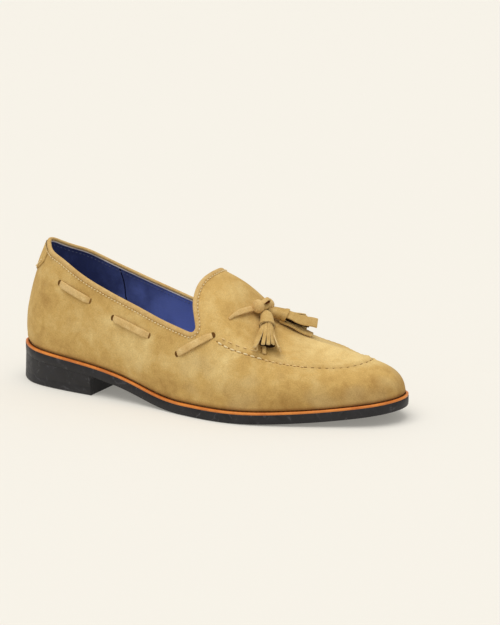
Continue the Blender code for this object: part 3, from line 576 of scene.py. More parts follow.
def on_upper(turn, up, lift=0.0):
    """Points on the upper's outside and their normals, lifted along these."""
    turn, up, lift = np.broadcast_arrays(np.asarray(turn, float), up, lift)
    across = np.mod(turn / (2 * math.pi), 1) * GRID_TURNS
    rise = np.clip(up, 0, 1) * (GRID_ROWS - 1)
    i, j = across.astype(int) % GRID_TURNS, np.minimum(rise.astype(int), GRID_ROWS - 2)
    a, b = (across - np.floor(across))[..., None], (rise - j)[..., None]
    after = (i + 1) % GRID_TURNS

    def blend(grid):
        low = grid[i, j] * (1 - a) + grid[after, j] * a
        high = grid[i, j + 1] * (1 - a) + grid[after, j + 1] * a
        return low * (1 - b) + high * b

    normal = unit(blend(grid_normals))
    return blend(grid_points) + lift[..., None] * normal, normal


def collar_curve():
    """Side view of the opening's edge, x and z, from behind the heel to above the tongue."""
    along, share = columns(COLLAR)
    x = along * LENGTH
    z = welt_top(x) + BACK_HEIGHT * share
    run = np.concatenate(([0], np.cumsum(np.hypot(np.diff(x), np.diff(z)))))
    at = np.linspace(0, run[-1], 160)
    return np.stack((spline(run, x)(at), spline(run, z)(at)), axis=1)


def opening_outline():
    """The side view of all that the opening takes away, as a closed polygon."""
    curve = collar_curve()
    above, behind = 2 * (INSTEP_HEIGHT + HEEL_LIFT), -BACK_HEIGHT
    ends = [[curve[-1, 0], above], [behind, above], [behind, curve[0, 1]]]
    return np.concatenate((curve, ends))


def opening_depth(x, z):
    """Distance to the opening's edge in side view, positive inside it."""
    corners = opening_outline()
    place = np.stack((np.ravel(x), np.ravel(z)), axis=1)[:, None]
    start, end = corners, np.roll(corners, -1, axis=0)
    edge = end - start
    share = np.clip(((place - start) * edge).sum(axis=2) / (edge**2).sum(axis=1), 0, 1)
    distance = np.linalg.norm(place - start - share[..., None] * edge, axis=2).min(axis=1)
    spans = (start[:, 1] > place[..., 1]) != (end[:, 1] > place[..., 1])
    rise = np.where(edge[:, 1] == 0, 1, edge[:, 1])
    crossing = start[:, 0] + (place[..., 1] - start[:, 1]) * edge[:, 0] / rise
    inside = (spans & (place[..., 0] < crossing)).sum(axis=1) % 2 == 1
    return np.where(inside, distance, -distance).reshape(np.shape(x))


def collar_side(medial):
    """One side of the opening's edge as turn and share up, from the heel to the ridge."""
    half = GRID_TURNS // 2 + 1
    columns_used = (-np.arange(half)) % GRID_TURNS if medial else np.arange(half)
    depth = opening_depth(grid_points[columns_used, :, 0], grid_points[columns_used, :, 2])
    links = {}

    def crossing(cell_edge):
        (i, j), (k, m) = cell_edge
        share = depth[i, j] / (depth[i, j] - depth[k, m])
        return (i + share * (k - i)) * 2 / GRID_TURNS, (j + share * (m - j)) / (GRID_ROWS - 1)

    for i in range(half - 1):
        for j in range(GRID_ROWS - 1):
            ring = ((i, j), (i + 1, j), (i + 1, j + 1), (i, j + 1))
            edges = [tuple(sorted((ring[k], ring[(k + 1) % 4]))) for k in range(4)]
            cut = [e for e in edges if (depth[e[0]] > 0) != (depth[e[1]] > 0)]
            if len(cut) == 2:
                links.setdefault(cut[0], []).append(cut[1])
                links.setdefault(cut[1], []).append(cut[0])
    at = min((e for e in links if len(links[e]) == 1), key=lambda e: e[0][0] + e[1][0])
    path, before = [crossing(at)], None
    while True:
        onward = [e for e in links[at] if e != before]
        if not onward:
            return np.array(path)
        before, at = at, onward[0]
        path.append(crossing(at))


def evenly(path, count, closed=False):
    """The path's rows at equal steps along its first three columns' length, others carried along."""
    whole = np.concatenate((path, path[:1])) if closed else path
    run = np.concatenate(([0], np.cumsum(np.linalg.norm(np.diff(whole[:, :3], axis=0), axis=1))))
    at = np.linspace(0, run[-1], count, endpoint=not closed)
    return np.stack([np.interp(at, run, column) for column in whole.T], axis=1)


def smoothed(loop, rounds):
    for _ in range(rounds):
        loop = (np.roll(loop, 1, axis=0) + 2 * loop + np.roll(loop, -1, axis=0)) / 4
    return loop


def collar_loop(count):
    """The opening's edge on the upper: points, outward normals and the way down the wall."""
    lateral, medial = collar_side(False), collar_side(True)
    medial[:, 0] = 2 - medial[:, 0]
    path = np.concatenate((lateral, medial[::-1][1:-1]))
    points, normals = on_upper(path[:, 0] * math.pi, path[:, 1])
    rows = evenly(np.concatenate((points, normals), axis=1), count, closed=True)
    rows = smoothed(rows, 2)
    points, normals = rows[:, :3], unit(rows[:, 3:])
    along = np.roll(points, -1, axis=0) - np.roll(points, 1, axis=0)
    down = unit(np.cross(along, normals))
    return points, normals, down


def put_origin(points):
    """From the sole's back edge to the middle of the footprint."""
    _, y = outline(np.linspace(0, 2 * math.pi, 721))
    middle = np.array(((LENGTH - HEEL_RAKE) / 2, (y.min() + y.max()) / 2, 0))
    return np.asarray(points) - middle


def drop(place):
    """The point of the upper's top at a place in plan, and the normal there."""
    first = GRID_ROWS // 3
    gaps = ((grid_points[:, first:, :2] - place) ** 2).sum(axis=2)
    i, j = np.unravel_index(gaps.argmin(), gaps.shape)
    j = min(j + first, GRID_ROWS - 2)
    around = (grid_points[(i + 1) % GRID_TURNS, j] - grid_points[i - 1, j]) / 2
    rise = grid_points[i, j + 1] - grid_points[i, j]
    steps = np.linalg.pinv(np.stack((around[:2], rise[:2]), axis=1)) @ (place - grid_points[i, j, :2])
    share = np.clip(steps, -1, 1)
    normal = grid_normals[i, j] + share[1] * (grid_normals[i, j + 1] - grid_normals[i, j])
    return grid_points[i, j] + steps[0] * around + steps[1] * rise, unit(normal)


def over_upper(along, across):
    return drop(np.array((along * LENGTH, across * BALL_WIDTH / 2)))


def smooth_path(points, ups, count):
    """A smooth route through a few points, with the way up at each place."""
    run = run_of(points)
    at = np.linspace(0, run[-1], count)
    path = np.stack([spline(run, column)(at) for column in points.T], axis=1)
    return path, unit(np.stack([np.interp(at, run, column) for column in ups.T], axis=1))


# Making meshes

def run_of(path):
    """Distance run along a path at each of its points."""
    return np.concatenate(([0], np.cumsum(np.linalg.norm(np.diff(path, axis=0), axis=1))))


def smooth_step(value, low, high):
    share = np.clip((value - low) / (high - low), 0, 1)
    return share * share * (3 - 2 * share)


def piece(name, points, faces, finish, slot, replaces=(), sharp=50):
    """A mesh that belongs to the shoe; finish is one material or several, with a number for each face."""
    finishes, numbers = finish if isinstance(finish, tuple) else ((finish,), None)
    mesh = bpy.data.meshes.new(name)
    mesh.from_pydata(put_origin(points).tolist(), [], [[int(v) for v in face] for face in faces])
    for made in finishes:
        mesh.materials.append(made)
    if numbers is not None:
        mesh.polygons.foreach_set("material_index", numbers)
    mesh.shade_smooth()
    mesh.set_sharp_from_angle(angle=math.radians(sharp))
    made = bpy.data.objects.new(name, mesh)
    bpy.context.scene.collection.objects.link(made)
    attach(made, "root")
    if replaces:
        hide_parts(*replaces)
    return made


def paint(made, name, values):
    """A number for each vertex, which the materials read by its name."""
    attribute = made.data.attributes.new(name, "FLOAT", "POINT")
    attribute.data.foreach_set("value", np.asarray(values, np.float32))


def band_faces(rings, count, closed=False):
    """Quads between successive rings of points, and from the last ring to the first where closed."""
    faces = []
    for ring in range(rings if closed else rings - 1):
        low, high = ring * count, (ring + 1) % rings * count
        for k in range(count):
            after = (k + 1) % count
            faces.append((low + k, low + after, high + after, high + k))
    return faces


def sweep(path, sides, ups, outlines, closed=False):
    """Points and faces of a section carried along a path; outlines is one section or one for each place."""
    outlines = np.asarray(outlines)
    if outlines.ndim == 2:
        outlines = np.repeat(outlines[None], len(path), axis=0)
    points = path[:, None] + sides[:, None] * outlines[..., :1] + ups[:, None] * outlines[..., 1:]
    count, corners = outlines.shape[:2]
    faces = band_faces(count, corners, closed)
    if not closed:
        faces.append(list(range(corners))[::-1])
        faces.append(list(range((count - 1) * corners, count * corners)))
    return points.reshape(-1, 3), faces


def round_outline(width, thick, corners=16, square=3.2):
    """A strap's section with soft edges, its underside at height 0."""
    angle = full_turn(corners) + math.pi / corners
    x = np.sign(np.cos(angle)) * np.abs(np.cos(angle)) ** (2 / square)
    y = np.sign(np.sin(angle)) * np.abs(np.sin(angle)) ** (2 / square)
    return np.stack((x * width / 2, (y + 1) * thick / 2), axis=1)


def ribbon(path, ups, widths, thick, rolls=0.0, corners=16, square=3.2):
    """A soft strap along a path; widths and rolls, in radians, may change along it."""
    along = unit(np.gradient(path, axis=0))
    sides = unit(np.cross(along, ups))
    ups = unit(np.cross(sides, along))
    widths = np.broadcast_to(widths, len(path))
    rolls = np.broadcast_to(rolls, len(path))[:, None]
    turned_sides = sides * np.cos(rolls) + ups * np.sin(rolls)
    turned_ups = ups * np.cos(rolls) - sides * np.sin(rolls)
    shapes = np.stack([round_outline(width, thick, corners, square) for width in widths])
    return sweep(path, turned_sides, turned_ups, shapes)


def joined(parts):
    """Several (points, faces) as one."""
    points, faces, first = [], [], 0
    for part_points, part_faces in parts:
        points.append(part_points)
        faces.extend([[int(v) + first for v in face] for face in part_faces])
        first += len(part_points)
    return np.concatenate(points), faces


def thread_row(path, normals, pitch, length, radius, lift=0.0, closed=False):
    """A row of short stitches, each an arched bead of thread that dips at both ends."""
    if closed:
        path, normals = (np.concatenate((rows, rows[:1])) for rows in (path, normals))
    run = run_of(path)
    count = max(1, int(run[-1] / pitch))
    share = np.linspace(-0.5, 0.5, BEAD_STEPS)
    arch = lift + radius * (1 - BEAD_DIP * share**2)
    thick = radius * np.sqrt(1 - (BEAD_POINT * share) ** 2)
    shapes = circle_points(BEAD_STEPS) * thick[:, None, None]
    parts = []
    for k in range(count):
        middle = (k + 0.5) * run[-1] / count
        at = middle + share * length
        centre = np.stack([np.interp(at, run, column) for column in path.T], axis=1)
        up = unit(np.stack([np.interp(at, run, column) for column in normals.T], axis=1))
        side = unit(np.cross(unit(np.gradient(centre, axis=0)), up))
        parts.append(sweep(centre + up * arch[:, None], side, up, shapes))
    return joined(parts)


def lateral_turn(turn):
    """The turn on the lateral side that lies as far from the heel."""
    return np.where(turn > 1, 2 - turn, turn)


def apron_height(turn):
    """The moccasin seam's share up at a turn, in half turns from the heel; level behind the throat."""
    at, up = columns(APRON)
    return spline(at, up)(np.clip(lateral_turn(turn), at[0], 1))


def wall_length(turn):
    """How long the section's outside is from the welt to the ridge."""
    runs = np.linalg.norm(np.diff(grid_points, axis=1), axis=2).sum(axis=1)
    places = np.arange(GRID_TURNS + 1) * 2 / GRID_TURNS
    return np.interp(np.mod(turn, 2), places, np.append(runs, runs[0]))


def seam_run():
    """Distance along the moccasin seam by turn, counted both ways from the toe."""
    turns = np.linspace(0.5, 1.5, 401)
    points, _ = on_upper(turns * math.pi, apron_height(turns))
    run = run_of(points)
    return turns, run - np.interp(1.0, turns, run)


seam_turns, seam_runs = seam_run()


def bell(value, reach):
    """1 at 0, falling smoothly to 0 on both sides."""
    return np.exp(-((value / reach) ** 2))


def near(points, start, end, reach):
    """1 on the line between two points, falling smoothly to 0 beside it."""
    way = end - start
    share = np.clip(((points - start) * way).sum(axis=-1) / max((way**2).sum(), 1e-12), 0, 1)
    distance = np.linalg.norm(points - start - share[..., None] * way, axis=-1)
    return bell(distance, reach)


def ripple(points, size, seed):
    """Smooth noise between -1 and 1 whose waves are about as long as the size."""
    offset = Vector((seed * 7.3, seed * 3.1, seed * 5.7))
    flat = points.reshape(-1, 3) / size
    return np.array([noise.noise(Vector(place) + offset) for place in flat]).reshape(points.shape[:-1])


def above_seam(turn, up):
    """Distance up the wall from the moccasin seam."""
    return (up - apron_height(turn)) * wall_length(turn)


def seam_relief(turn, up):
    """The apron's rolled edge above the seam, the seam's groove and the puckered wall below it."""
    over = above_seam(turn, up)
    run = np.interp(turn, seam_turns, seam_runs)
    front = smooth_step(lateral_turn(turn), *SEAM_START)
    pucker = 0.5 + 0.5 * np.cos(2 * math.pi * run / HAND_PITCH)
    plug = smooth_step(over, *PLUG_FOOT) * (1 - smooth_step(over, *PLUG_BACK))
    lobe = LOBE_RISE * bell(over + LOBE_BELOW, LOBE_REACH) * (LOBE_EVEN + pucker)
    height = PLUG_RISE * plug + lobe - GROOVE_DEPTH * bell(over, GROOVE_REACH)
    row = PUCKER_RISE * pucker * plug - ROW_DEPTH * bell(over - TOP_ROW, ROW_REACH)
    return front * (height + row)


def relief(turn, up):
    """How far the suede stands over the last's plain surface: seam, slots, creases and unevenness."""
    turn, up = np.broadcast_arrays(np.asarray(turn, float), np.asarray(up, float))
    points, _ = on_upper(turn * math.pi, up)
    height = seam_relief(turn, up)
    for start_turn, start_up, end_turn, end_up, reach, depth in CREASES:
        ends, _ = on_upper(np.array((start_turn, end_turn)) * math.pi, np.array((start_up, end_up)))
        height = height - depth * near(points, ends[0], ends[1], reach)
    for slot_turn, slot_up in slot_places():
        centre, _ = on_upper(slot_turn * math.pi, slot_up)
        height = height - SLOT_DEPTH * near(points, centre, centre, SLOT_REACH)
    for rise, size, seed in WAVES:
        height = height + rise * ripple(points, size, seed)
    return height * smooth_step(up * wall_length(turn), 0.0, RELIEF_FADE)


def slot_places():
    """Turn and share up of every slot that the lace runs through."""
    places = []
    for mirror in (1, -1):
        for turn0, up0, turn1, up1 in SIDE_LACE:
            places.append((mirror * turn0 % 2, up0))
            places.append((mirror * turn1 % 2, up1))
    first, last = FRONT_LACE[0], FRONT_LACE[-1]
    return [*places, first[:2], last[:2]]


def tone_and_painted_light(points):
    """The nap's cloudiness and listed patches, partly its own tone and partly painted light and shade, and
    painted shade near the welt.
    """
    above = points[..., 2] - welt_top(points[..., 0])
    ahead = smooth_step(points[..., 0], *AHEAD)
    total = sum(strength * ripple(points, size, seed) for strength, size, seed in MOTTLE)
    # painted shade low on the wall, more of it towards the toe
    total = total - (LOW_SHADE + LOW_SHADE_AHEAD * ahead) * (1 - smooth_step(above, 0.0, LOW_SHADE_REACH))
    # listed patches: the nap's own tone, and painted light and shade
    for turn, up, reach, strength in NAP_AND_PAINTED_LIGHT_PATCHES:
        centre, _ = on_upper(turn * math.pi, up)
        total = total + strength * near(points, centre, centre, reach)
    return total


# Materials

def linear(red, green, blue):
    """A colour as it shows on a screen, 0 to 255, as the linear values that a shader takes."""
    share = np.array((red, green, blue)) / 255
    line = np.where(share <= 0.04045, share / 12.92, ((share + 0.055) / 1.055) ** 2.4)
    return (*line.tolist(), 1.0)


class Finish:
    """A material whose nodes are added one call at a time."""

    def __init__(self, name, **settings):
        self.material = bpy.data.materials.new(name)
        self.material.use_nodes = True
        self.tree = self.material.node_tree
        self.shader = self.tree.nodes["Principled BSDF"]
        self.set(self.shader, settings)

    def set(self, made, inputs):
        for name, value in inputs.items():
            socket = made.inputs[name.replace("_", " ")] if isinstance(name, str) else made.inputs[name]
            if isinstance(value, bpy.types.NodeSocket):
                self.tree.links.new(value, socket)
            else:
                socket.default_value = value

    def add(self, kind, inputs=None, **settings):
        made = self.tree.nodes.new("ShaderNode" + kind)
        for name, value in settings.items():
            setattr(made, name, value)
        self.set(made, inputs or {})
        return made

    def place(self):
        return self.add("TexCoord").outputs["Object"]

    def noise(self, scale, detail=3.0, roughness=0.55, distortion=0.0, place=None):
        inputs = {"Scale": scale, "Detail": detail, "Roughness": roughness, "Distortion": distortion}
        inputs["Vector"] = place or self.place()
        return self.add("TexNoise", inputs).outputs["Fac"]

    def cells(self, scale, place=None):
        return self.add("TexVoronoi", {"Scale": scale, "Vector": place or self.place()}).outputs["Distance"]

    def math(self, operation, *values):
        return self.add("Math", dict(enumerate(values)), operation=operation).outputs[0]

    def spread(self, value, low, high, to_low=0.0, to_high=1.0):
        inputs = {"Value": value, "From Min": low, "From Max": high, "To Min": to_low, "To Max": to_high}
        return self.add("MapRange", inputs, interpolation_type="SMOOTHSTEP").outputs["Result"]

    def mix(self, share, first, second, blend="MIX"):
        made = self.add("Mix", data_type="RGBA", blend_type=blend)
        self.set(made, {0: share, 6: first, 7: second})
        return made.outputs[2]

    def ramp(self, value, stops):
        made = self.add("ValToRGB", {"Fac": value})
        ramp = made.color_ramp
        for number, (at, colour) in enumerate(stops):
            stop = ramp.elements[number] if number < 2 else ramp.elements.new(at)
            stop.position, stop.color = at, colour
        return made.outputs["Color"]

    def bump(self, height, distance, strength=1.0, under=None):
        inputs = {"Height": height, "Distance": distance, "Strength": strength}
        if under is not None:
            inputs["Normal"] = under
        return self.add("Bump", inputs).outputs["Normal"]


def suede(name, dark, middle, light, worn, charted=False, size=1.0):
    """Napped leather: broad patches, brushed streaks, a speckled nap and a soft sheen."""
    look = Finish(name, Roughness=0.95, Specular_IOR_Level=0.18)
    broad = look.noise(42 * size, 3.0, 0.55, 0.6)
    brushed = look.noise(150 * size, 4.0, 0.6, 0.8)
    speckle = look.noise(1250, 3.0, 0.65)
    nap = look.noise(3600, 2.0, 0.6)
    level = look.math("MULTIPLY_ADD", broad, 0.45, 0.17)
    level = look.math("ADD", level, look.math("MULTIPLY", brushed, 0.32))
    if charted:
        # the mesh's tone: the nap's patches, with painted light and shade
        chart = look.add("Attribute", attribute_name="tone_and_painted_light").outputs["Fac"]
        level = look.math("ADD", level, look.math("MULTIPLY", chart, 0.30))
    colour = look.ramp(level, ((0.22, dark), (0.50, middle), (0.76, light)))
    colour = look.mix(look.spread(look.noise(24 * size, 2.0), 0.56, 0.72, 0.0, 0.40), colour, worn)
    flecks = look.ramp(speckle, ((0.25, (0.66, 0.64, 0.60, 1)), (0.75, (1.24, 1.24, 1.24, 1))))
    colour = look.mix(0.55, colour, flecks, "MULTIPLY")
    if charted:
        # painted shade from the mesh: at the welt, in the seam, under the binding and along the heel tab's
        # edge
        painted_shade = look.add("Attribute", attribute_name="painted_shade").outputs["Fac"]
        colour = look.mix(painted_shade, colour, look.mix(1.0, colour, linear(150, 112, 70), "MULTIPLY"))
    normal = look.bump(nap, 0.00016, 0.55)
    normal = look.bump(speckle, 0.00030, 0.60, normal)
    normal = look.bump(brushed, 0.00060, 0.35, normal)
    look.set(look.shader, {"Base Color": colour, "Normal": normal})
    sheen = {"Sheen Weight": 0.14, "Sheen Roughness": 0.45, "Sheen Tint": linear(245, 225, 180)}
    look.set(look.shader, sheen)
    return look.material


def leather(name, dark, light, roughness, grain=900.0, depth=0.00012, coat=0.0, forward=None):
    """Smooth leather with fine pores and faint folds; painted light makes it lighter between the two places
    in forward.
    """
    look = Finish(name, Specular_IOR_Level=0.4, Coat_Weight=coat, Coat_Roughness=0.25)
    cloud = look.noise(60, 4.0, 0.6, 0.4)
    if forward is not None:
        # painted light: lighter towards the front of the shoe
        along = look.add("SeparateXYZ", {0: look.place()}).outputs["X"]
        painted_light = look.spread(along, *forward, 0.18, 0.50)
        cloud = look.math("ADD", look.math("MULTIPLY", cloud, 0.35), painted_light)
    pores = look.cells(grain)
    colour = look.mix(look.spread(cloud, 0.35, 0.65), dark, light)
    rough = look.spread(look.noise(220, 3.0), 0.3, 0.7, roughness - 0.08, roughness + 0.08)
    normal = look.bump(pores, depth, 0.5)
    normal = look.bump(cloud, 0.0008, 0.20, normal)
    look.set(look.shader, {"Base Color": colour, "Roughness": rough, "Normal": normal})
    return look.material


def sole_leather(name, dark, light, scuff):
    """Black edge finish with fine scratches along the edge and paler scuffs."""
    look = Finish(name, Specular_IOR_Level=0.30)
    place = look.add("Mapping", {"Vector": look.place(), "Scale": (0.25, 0.25, 3.0)}).outputs["Vector"]
    lines = look.noise(420, 4.0, 0.7, 0.0, place)
    cloud = look.noise(75, 4.0, 0.65, 0.8)
    marks = look.spread(look.noise(95, 5.0, 0.72, 1.6), 0.54, 0.72)
    colour = look.mix(look.spread(cloud, 0.35, 0.70), dark, light)
    colour = look.mix(look.math("MULTIPLY", marks, 0.50), colour, scuff)
    rough = look.spread(cloud, 0.3, 0.7, 0.38, 0.62)
    normal = look.bump(lines, 0.00012, 0.45)
    normal = look.bump(marks, 0.00010, 0.30, normal)
    look.set(look.shader, {"Base Color": colour, "Roughness": rough, "Normal": normal})
    return look.material


def thread(name, dark, light):
    """Waxed thread, its twist showing as fine slanted bands."""
    look = Finish(name, Roughness=0.7, Specular_IOR_Level=0.3)
    twist = look.add("TexWave", {"Scale": 900.0, "Distortion": 1.5, "Vector": look.place()})
    fibre = look.noise(2600, 2.0)
    colour = look.mix(look.math("MULTIPLY", twist.outputs["Fac"], fibre), dark, light)
    look.set(look.shader, {"Base Color": colour, "Normal": look.bump(twist.outputs["Fac"], 0.0001, 0.5)})
    return look.material


def shade(name, dark, light):
    """The unlit inside of a hole."""
    look = Finish(name, Roughness=1.0, Specular_IOR_Level=0.05)
    look.set(look.shader, {"Base Color": look.mix(look.noise(700, 2.0), dark, light)})
    return look.material


def paper(name, colour):
    """A plain pale studio floor."""
    look = Finish(name, Roughness=0.9, Specular_IOR_Level=0.1)
    cloud = look.spread(look.noise(0.8, 2.0), 0.3, 0.7, 0.0, 0.02)
    tint = look.mix(cloud, colour, [0.99 * level for level in colour[:3]] + [1])
    glow = [GLOW * level for level in PAPER_GLOW] + [1.0]
    look.set(look.shader, {"Base Color": tint, "Emission Color": glow, "Emission Strength": 1.0})
    return look.material


def make_looks():
    """Every finish by name."""
    looks = {
        "suede": suede(
            "suede_nap", linear(166, 127, 68), linear(203, 167, 100), linear(226, 198, 136),
            linear(198, 174, 126), charted=True,
        ),
        "trim": suede(
            "suede_trim", linear(158, 121, 64), linear(192, 157, 94), linear(216, 186, 126),
            linear(196, 164, 110), size=2.0,
        ),
        "lace": suede(
            "suede_lace", linear(168, 130, 74), linear(208, 173, 112), linear(232, 204, 148),
            linear(210, 178, 126), size=2.0,
        ),
        "binding": suede(
            "suede_binding", linear(170, 133, 80), linear(200, 164, 104), linear(220, 190, 134),
            linear(200, 166, 112), size=2.0,
        ),
        "cut": suede(
            "suede_cut_edge", linear(150, 118, 70), linear(208, 180, 126), linear(236, 214, 168),
            linear(214, 190, 150), size=3.0,
        ),
        # painted light: the lining lighter towards the throat, darker at the heel
        "lining": leather(
            "lining_blue", linear(58, 68, 114), linear(118, 136, 205), 0.42, forward=(-0.13, 0.00)
        ),
        "navy": thread("thread_navy", linear(92, 100, 138), linear(150, 156, 184)),
        "seam": shade("lining_seam_shade", linear(16, 18, 34), linear(28, 32, 56)),
        "lining_edge": leather("lining_edge", linear(176, 172, 180), linear(214, 208, 208), 0.5),
        "welt": leather(
            "welt_orange", linear(196, 108, 36), linear(226, 138, 54), 0.45, 1400.0, 0.00008, 0.10
        ),
        "sole": sole_leather("sole_black", linear(30, 29, 31), linear(44, 43, 46), linear(96, 95, 100)),
        "cream": thread("thread_cream", linear(226, 202, 150), linear(252, 240, 206)),
        "tan": thread("thread_tan", linear(222, 188, 126), linear(246, 224, 170)),
        "brown": thread("thread_brown", linear(96, 50, 22), linear(150, 82, 36)),
        "hole": shade("hole_shade", linear(84, 56, 27), linear(116, 80, 40)),
        "notch": shade("notch_shade", linear(112, 78, 38), linear(150, 110, 58)),
        "joint": shade("joint_shade", linear(74, 40, 18), linear(104, 60, 28)),
        "deep": shade("deep_shade", linear(30, 20, 12), linear(48, 32, 18)),
        "floor": paper("floor_paper", [(1 - GLOW) * level for level in PAPER] + [1]),
    }
    return looks


# Camera, light and floor

def make_camera():
    data = bpy.data.cameras.new("camera")
    data.lens = CAMERA_LENS
    data.sensor_width = 36
    data.clip_end = 60
    camera = bpy.data.objects.new("camera", data)
    bpy.context.scene.collection.objects.link(camera)
    away = Vector(
        (
            math.sin(CAMERA_TURN) * math.cos(CAMERA_RISE),
            -math.cos(CAMERA_TURN) * math.cos(CAMERA_RISE),
            math.sin(CAMERA_RISE),
        )
    )
    camera.location = Vector(put_origin(np.array(CAMERA_AIM))) + CAMERA_FAR * away
    camera.rotation_euler = away.to_track_quat("Z", "Y").to_euler()
    bpy.context.scene.camera = camera


def make_light():
    for name, turn, rise, strength, soft, colour in LIGHTS:
        data = bpy.data.lights.new(name, "SUN")
        data.energy, data.angle, data.color = strength, math.radians(soft), colour
        light = bpy.data.objects.new(name, data)
        turn, rise = math.radians(turn), math.radians(rise)
        away = (math.sin(turn) * math.cos(rise), -math.cos(turn) * math.cos(rise), math.sin(rise))
        light.rotation_euler = Vector(away).to_track_quat("Z", "Y").to_euler()
        bpy.context.scene.collection.objects.link(light)
    world = bpy.data.worlds.new("studio")
    world.use_nodes = True
    background = world.node_tree.nodes["Background"]
    background.inputs["Color"].default_value = (*WORLD_LIGHT, 1)
    background.inputs["Strength"].default_value = WORLD_STRENGTH
    bpy.context.scene.world = world


def make_floor(looks):
    mesh = bpy.data.meshes.new("floor")
    corners = [(x * FLOOR_HALF, y * FLOOR_HALF, 0) for x, y in ((-1, -1), (1, -1), (1, 1), (-1, 1))]
    mesh.from_pydata(corners, [], [(0, 1, 2, 3)])
    mesh.materials.append(looks["floor"])
    floor = bpy.data.objects.new("floor", mesh)
    floor.location.z = -0.0001
    bpy.context.scene.collection.objects.link(floor)


# Upper

def cut_grid(index, depth, level):
    """Faces of a grid where depth is below the level; cells on the boundary are cut along it."""
    ring = np.stack((index[:-1, :-1], index[1:, :-1], index[1:, 1:], index[:-1, 1:]), axis=2).reshape(-1, 4)
    low = depth[ring] < level
    faces = ring[low.all(axis=1)].tolist()
    cuts, made = [], {}
    for corners in ring[low.any(axis=1) & ~low.all(axis=1)]:
        face = []
        for k in range(4):
            a, b = int(corners[k]), int(corners[(k + 1) % 4])
            if depth[a] < level:
                face.append(a)
            if (depth[a] < level) != (depth[b] < level):
                key = (min(a, b), max(a, b))
                if key not in made:
                    made[key] = len(depth) + len(cuts)
                    cuts.append((*key, (level - depth[key[0]]) / (depth[key[1]] - depth[key[0]])))
                face.append(made[key])
        if len(face) > 2:
            faces.append(face)
    return faces, cuts


def blended(values, cuts):
    """The values at a grid's points, with those at its cuts after them."""
    first, second, share = (np.array(column) for column in zip(*cuts))
    share = share.reshape(-1, *(1,) * (values.ndim - 1))
    between = values[first.astype(int)] * (1 - share) + values[second.astype(int)] * share
    return np.concatenate((values, between))


def used_only(faces, *arrays):
    """Drops the points that no face has."""
    used = sorted({v for face in faces for v in face})
    number = {v: k for k, v in enumerate(used)}
    return [[number[v] for v in face] for face in faces], *(array[used] for array in arrays)


def wall_rows(low, high):
    """Shares of the way up to the seam, and on from it, closer together beside it."""
    below = np.linspace(0, 1, low, endpoint=False) ** 0.80
    above = 1 - (1 - np.linspace(0, 1, high)) ** 0.66
    above = 1 - above[::-1]
    return below, above


def wall_grid(turns, low, high):
    """Share up of each grid point, with one row on the seam."""
    seam = apron_height(turns)[:, None]
    below, above = wall_rows(low, high)
    return np.concatenate((seam * below, seam + (1 - seam) * above), axis=1)


def folded_index(count, rows):
    """Numbers of a closed grid's points whose last row is folded on the ridge."""
    index = np.arange(count * rows).reshape(count, rows)
    mirrored = np.minimum(np.arange(count), (count - np.arange(count)) % count)
    index[:, -1] = mirrored * rows + rows - 1
    return np.concatenate((index, index[:1]))


def rim_depth(points):
    return np.concatenate([opening_depth(row[:, 0], row[:, 2]) for row in points])


def mirrored_turns(half):
    """Turns right round the shoe, from those of the lateral side."""
    return np.concatenate((half, 2 - half[::-1][1:-1]))


def over_welt(plain, normals, run_up, height):
    """The suede at its height over the plain surface, its foot turned in over the welt's worn top."""
    tuck = TUCK_DEPTH * (1 - smooth_step(run_up, 0.0, TUCK_REACH))
    low_edge = 1 - smooth_step(run_up, 0.0, SWELL_REACH)
    swell = SWELL_RISE * low_edge * smooth_step(run_up, *SWELL_START)
    points = plain + (height - tuck + swell)[..., None] * normals
    points[..., 2] -= (WELT_WORN + FOOT_LAP) * low_edge
    return points


def painted_shade_at(turn, up, run_up, under_band):
    """Painted shade on the suede at the welt, in the seam and under the binding."""
    front = smooth_step(lateral_turn(turn), *SHADE_IN_SEAM_START)
    painted_shade = SHADE_AT_WELT * (1 - smooth_step(run_up, *SHADE_AT_WELT_CLIMB))
    painted_shade = painted_shade + SHADE_IN_SEAM * bell(above_seam(turn, up), SHADE_IN_SEAM_REACH) * front
    return painted_shade + SHADE_UNDER_BAND * bell(under_band, SHADE_UNDER_BAND_REACH)


def make_upper(looks):
    behind = np.linspace(0, THROAT_TURN, UPPER_FINE[0], endpoint=False)
    ahead = np.linspace(THROAT_TURN, 1, UPPER_FINE[1])
    turns = mirrored_turns(np.concatenate((behind, ahead)))
    ups = wall_grid(turns, *UPPER_ROWS)
    turn_grid = np.broadcast_to(turns[:, None], ups.shape)
    plain, normals = on_upper(turn_grid * math.pi, ups)
    depth = rim_depth(plain)
    run_up = ups * wall_length(turn_grid)
    under_band = -depth.reshape(ups.shape) - BAND_FOOT
    height = relief(turn_grid, ups) - DENT_DEPTH * bell(under_band - DENT_BELOW, DENT_REACH)
    points = over_welt(plain, normals, run_up, height)
    # painted shade at the welt, in the seam and under the binding
    painted_shade = painted_shade_at(turn_grid, ups, run_up, under_band)
    faces, cuts = cut_grid(folded_index(*ups.shape), depth, -SUEDE_CUT)
    values = [blended(array.reshape(-1, *array.shape[2:]), cuts) for array in (points, painted_shade, tone_and_painted_light(plain))]
    faces, points, painted_shade, tones_and_painted_light = used_only(faces, *values)
    upper = piece("upper_suede", points, faces, looks["suede"], "suede", ["upper"], sharp=180)
    paint(upper, "painted_shade", np.clip(painted_shade, 0, 1))
    paint(upper, "tone_and_painted_light", tones_and_painted_light)


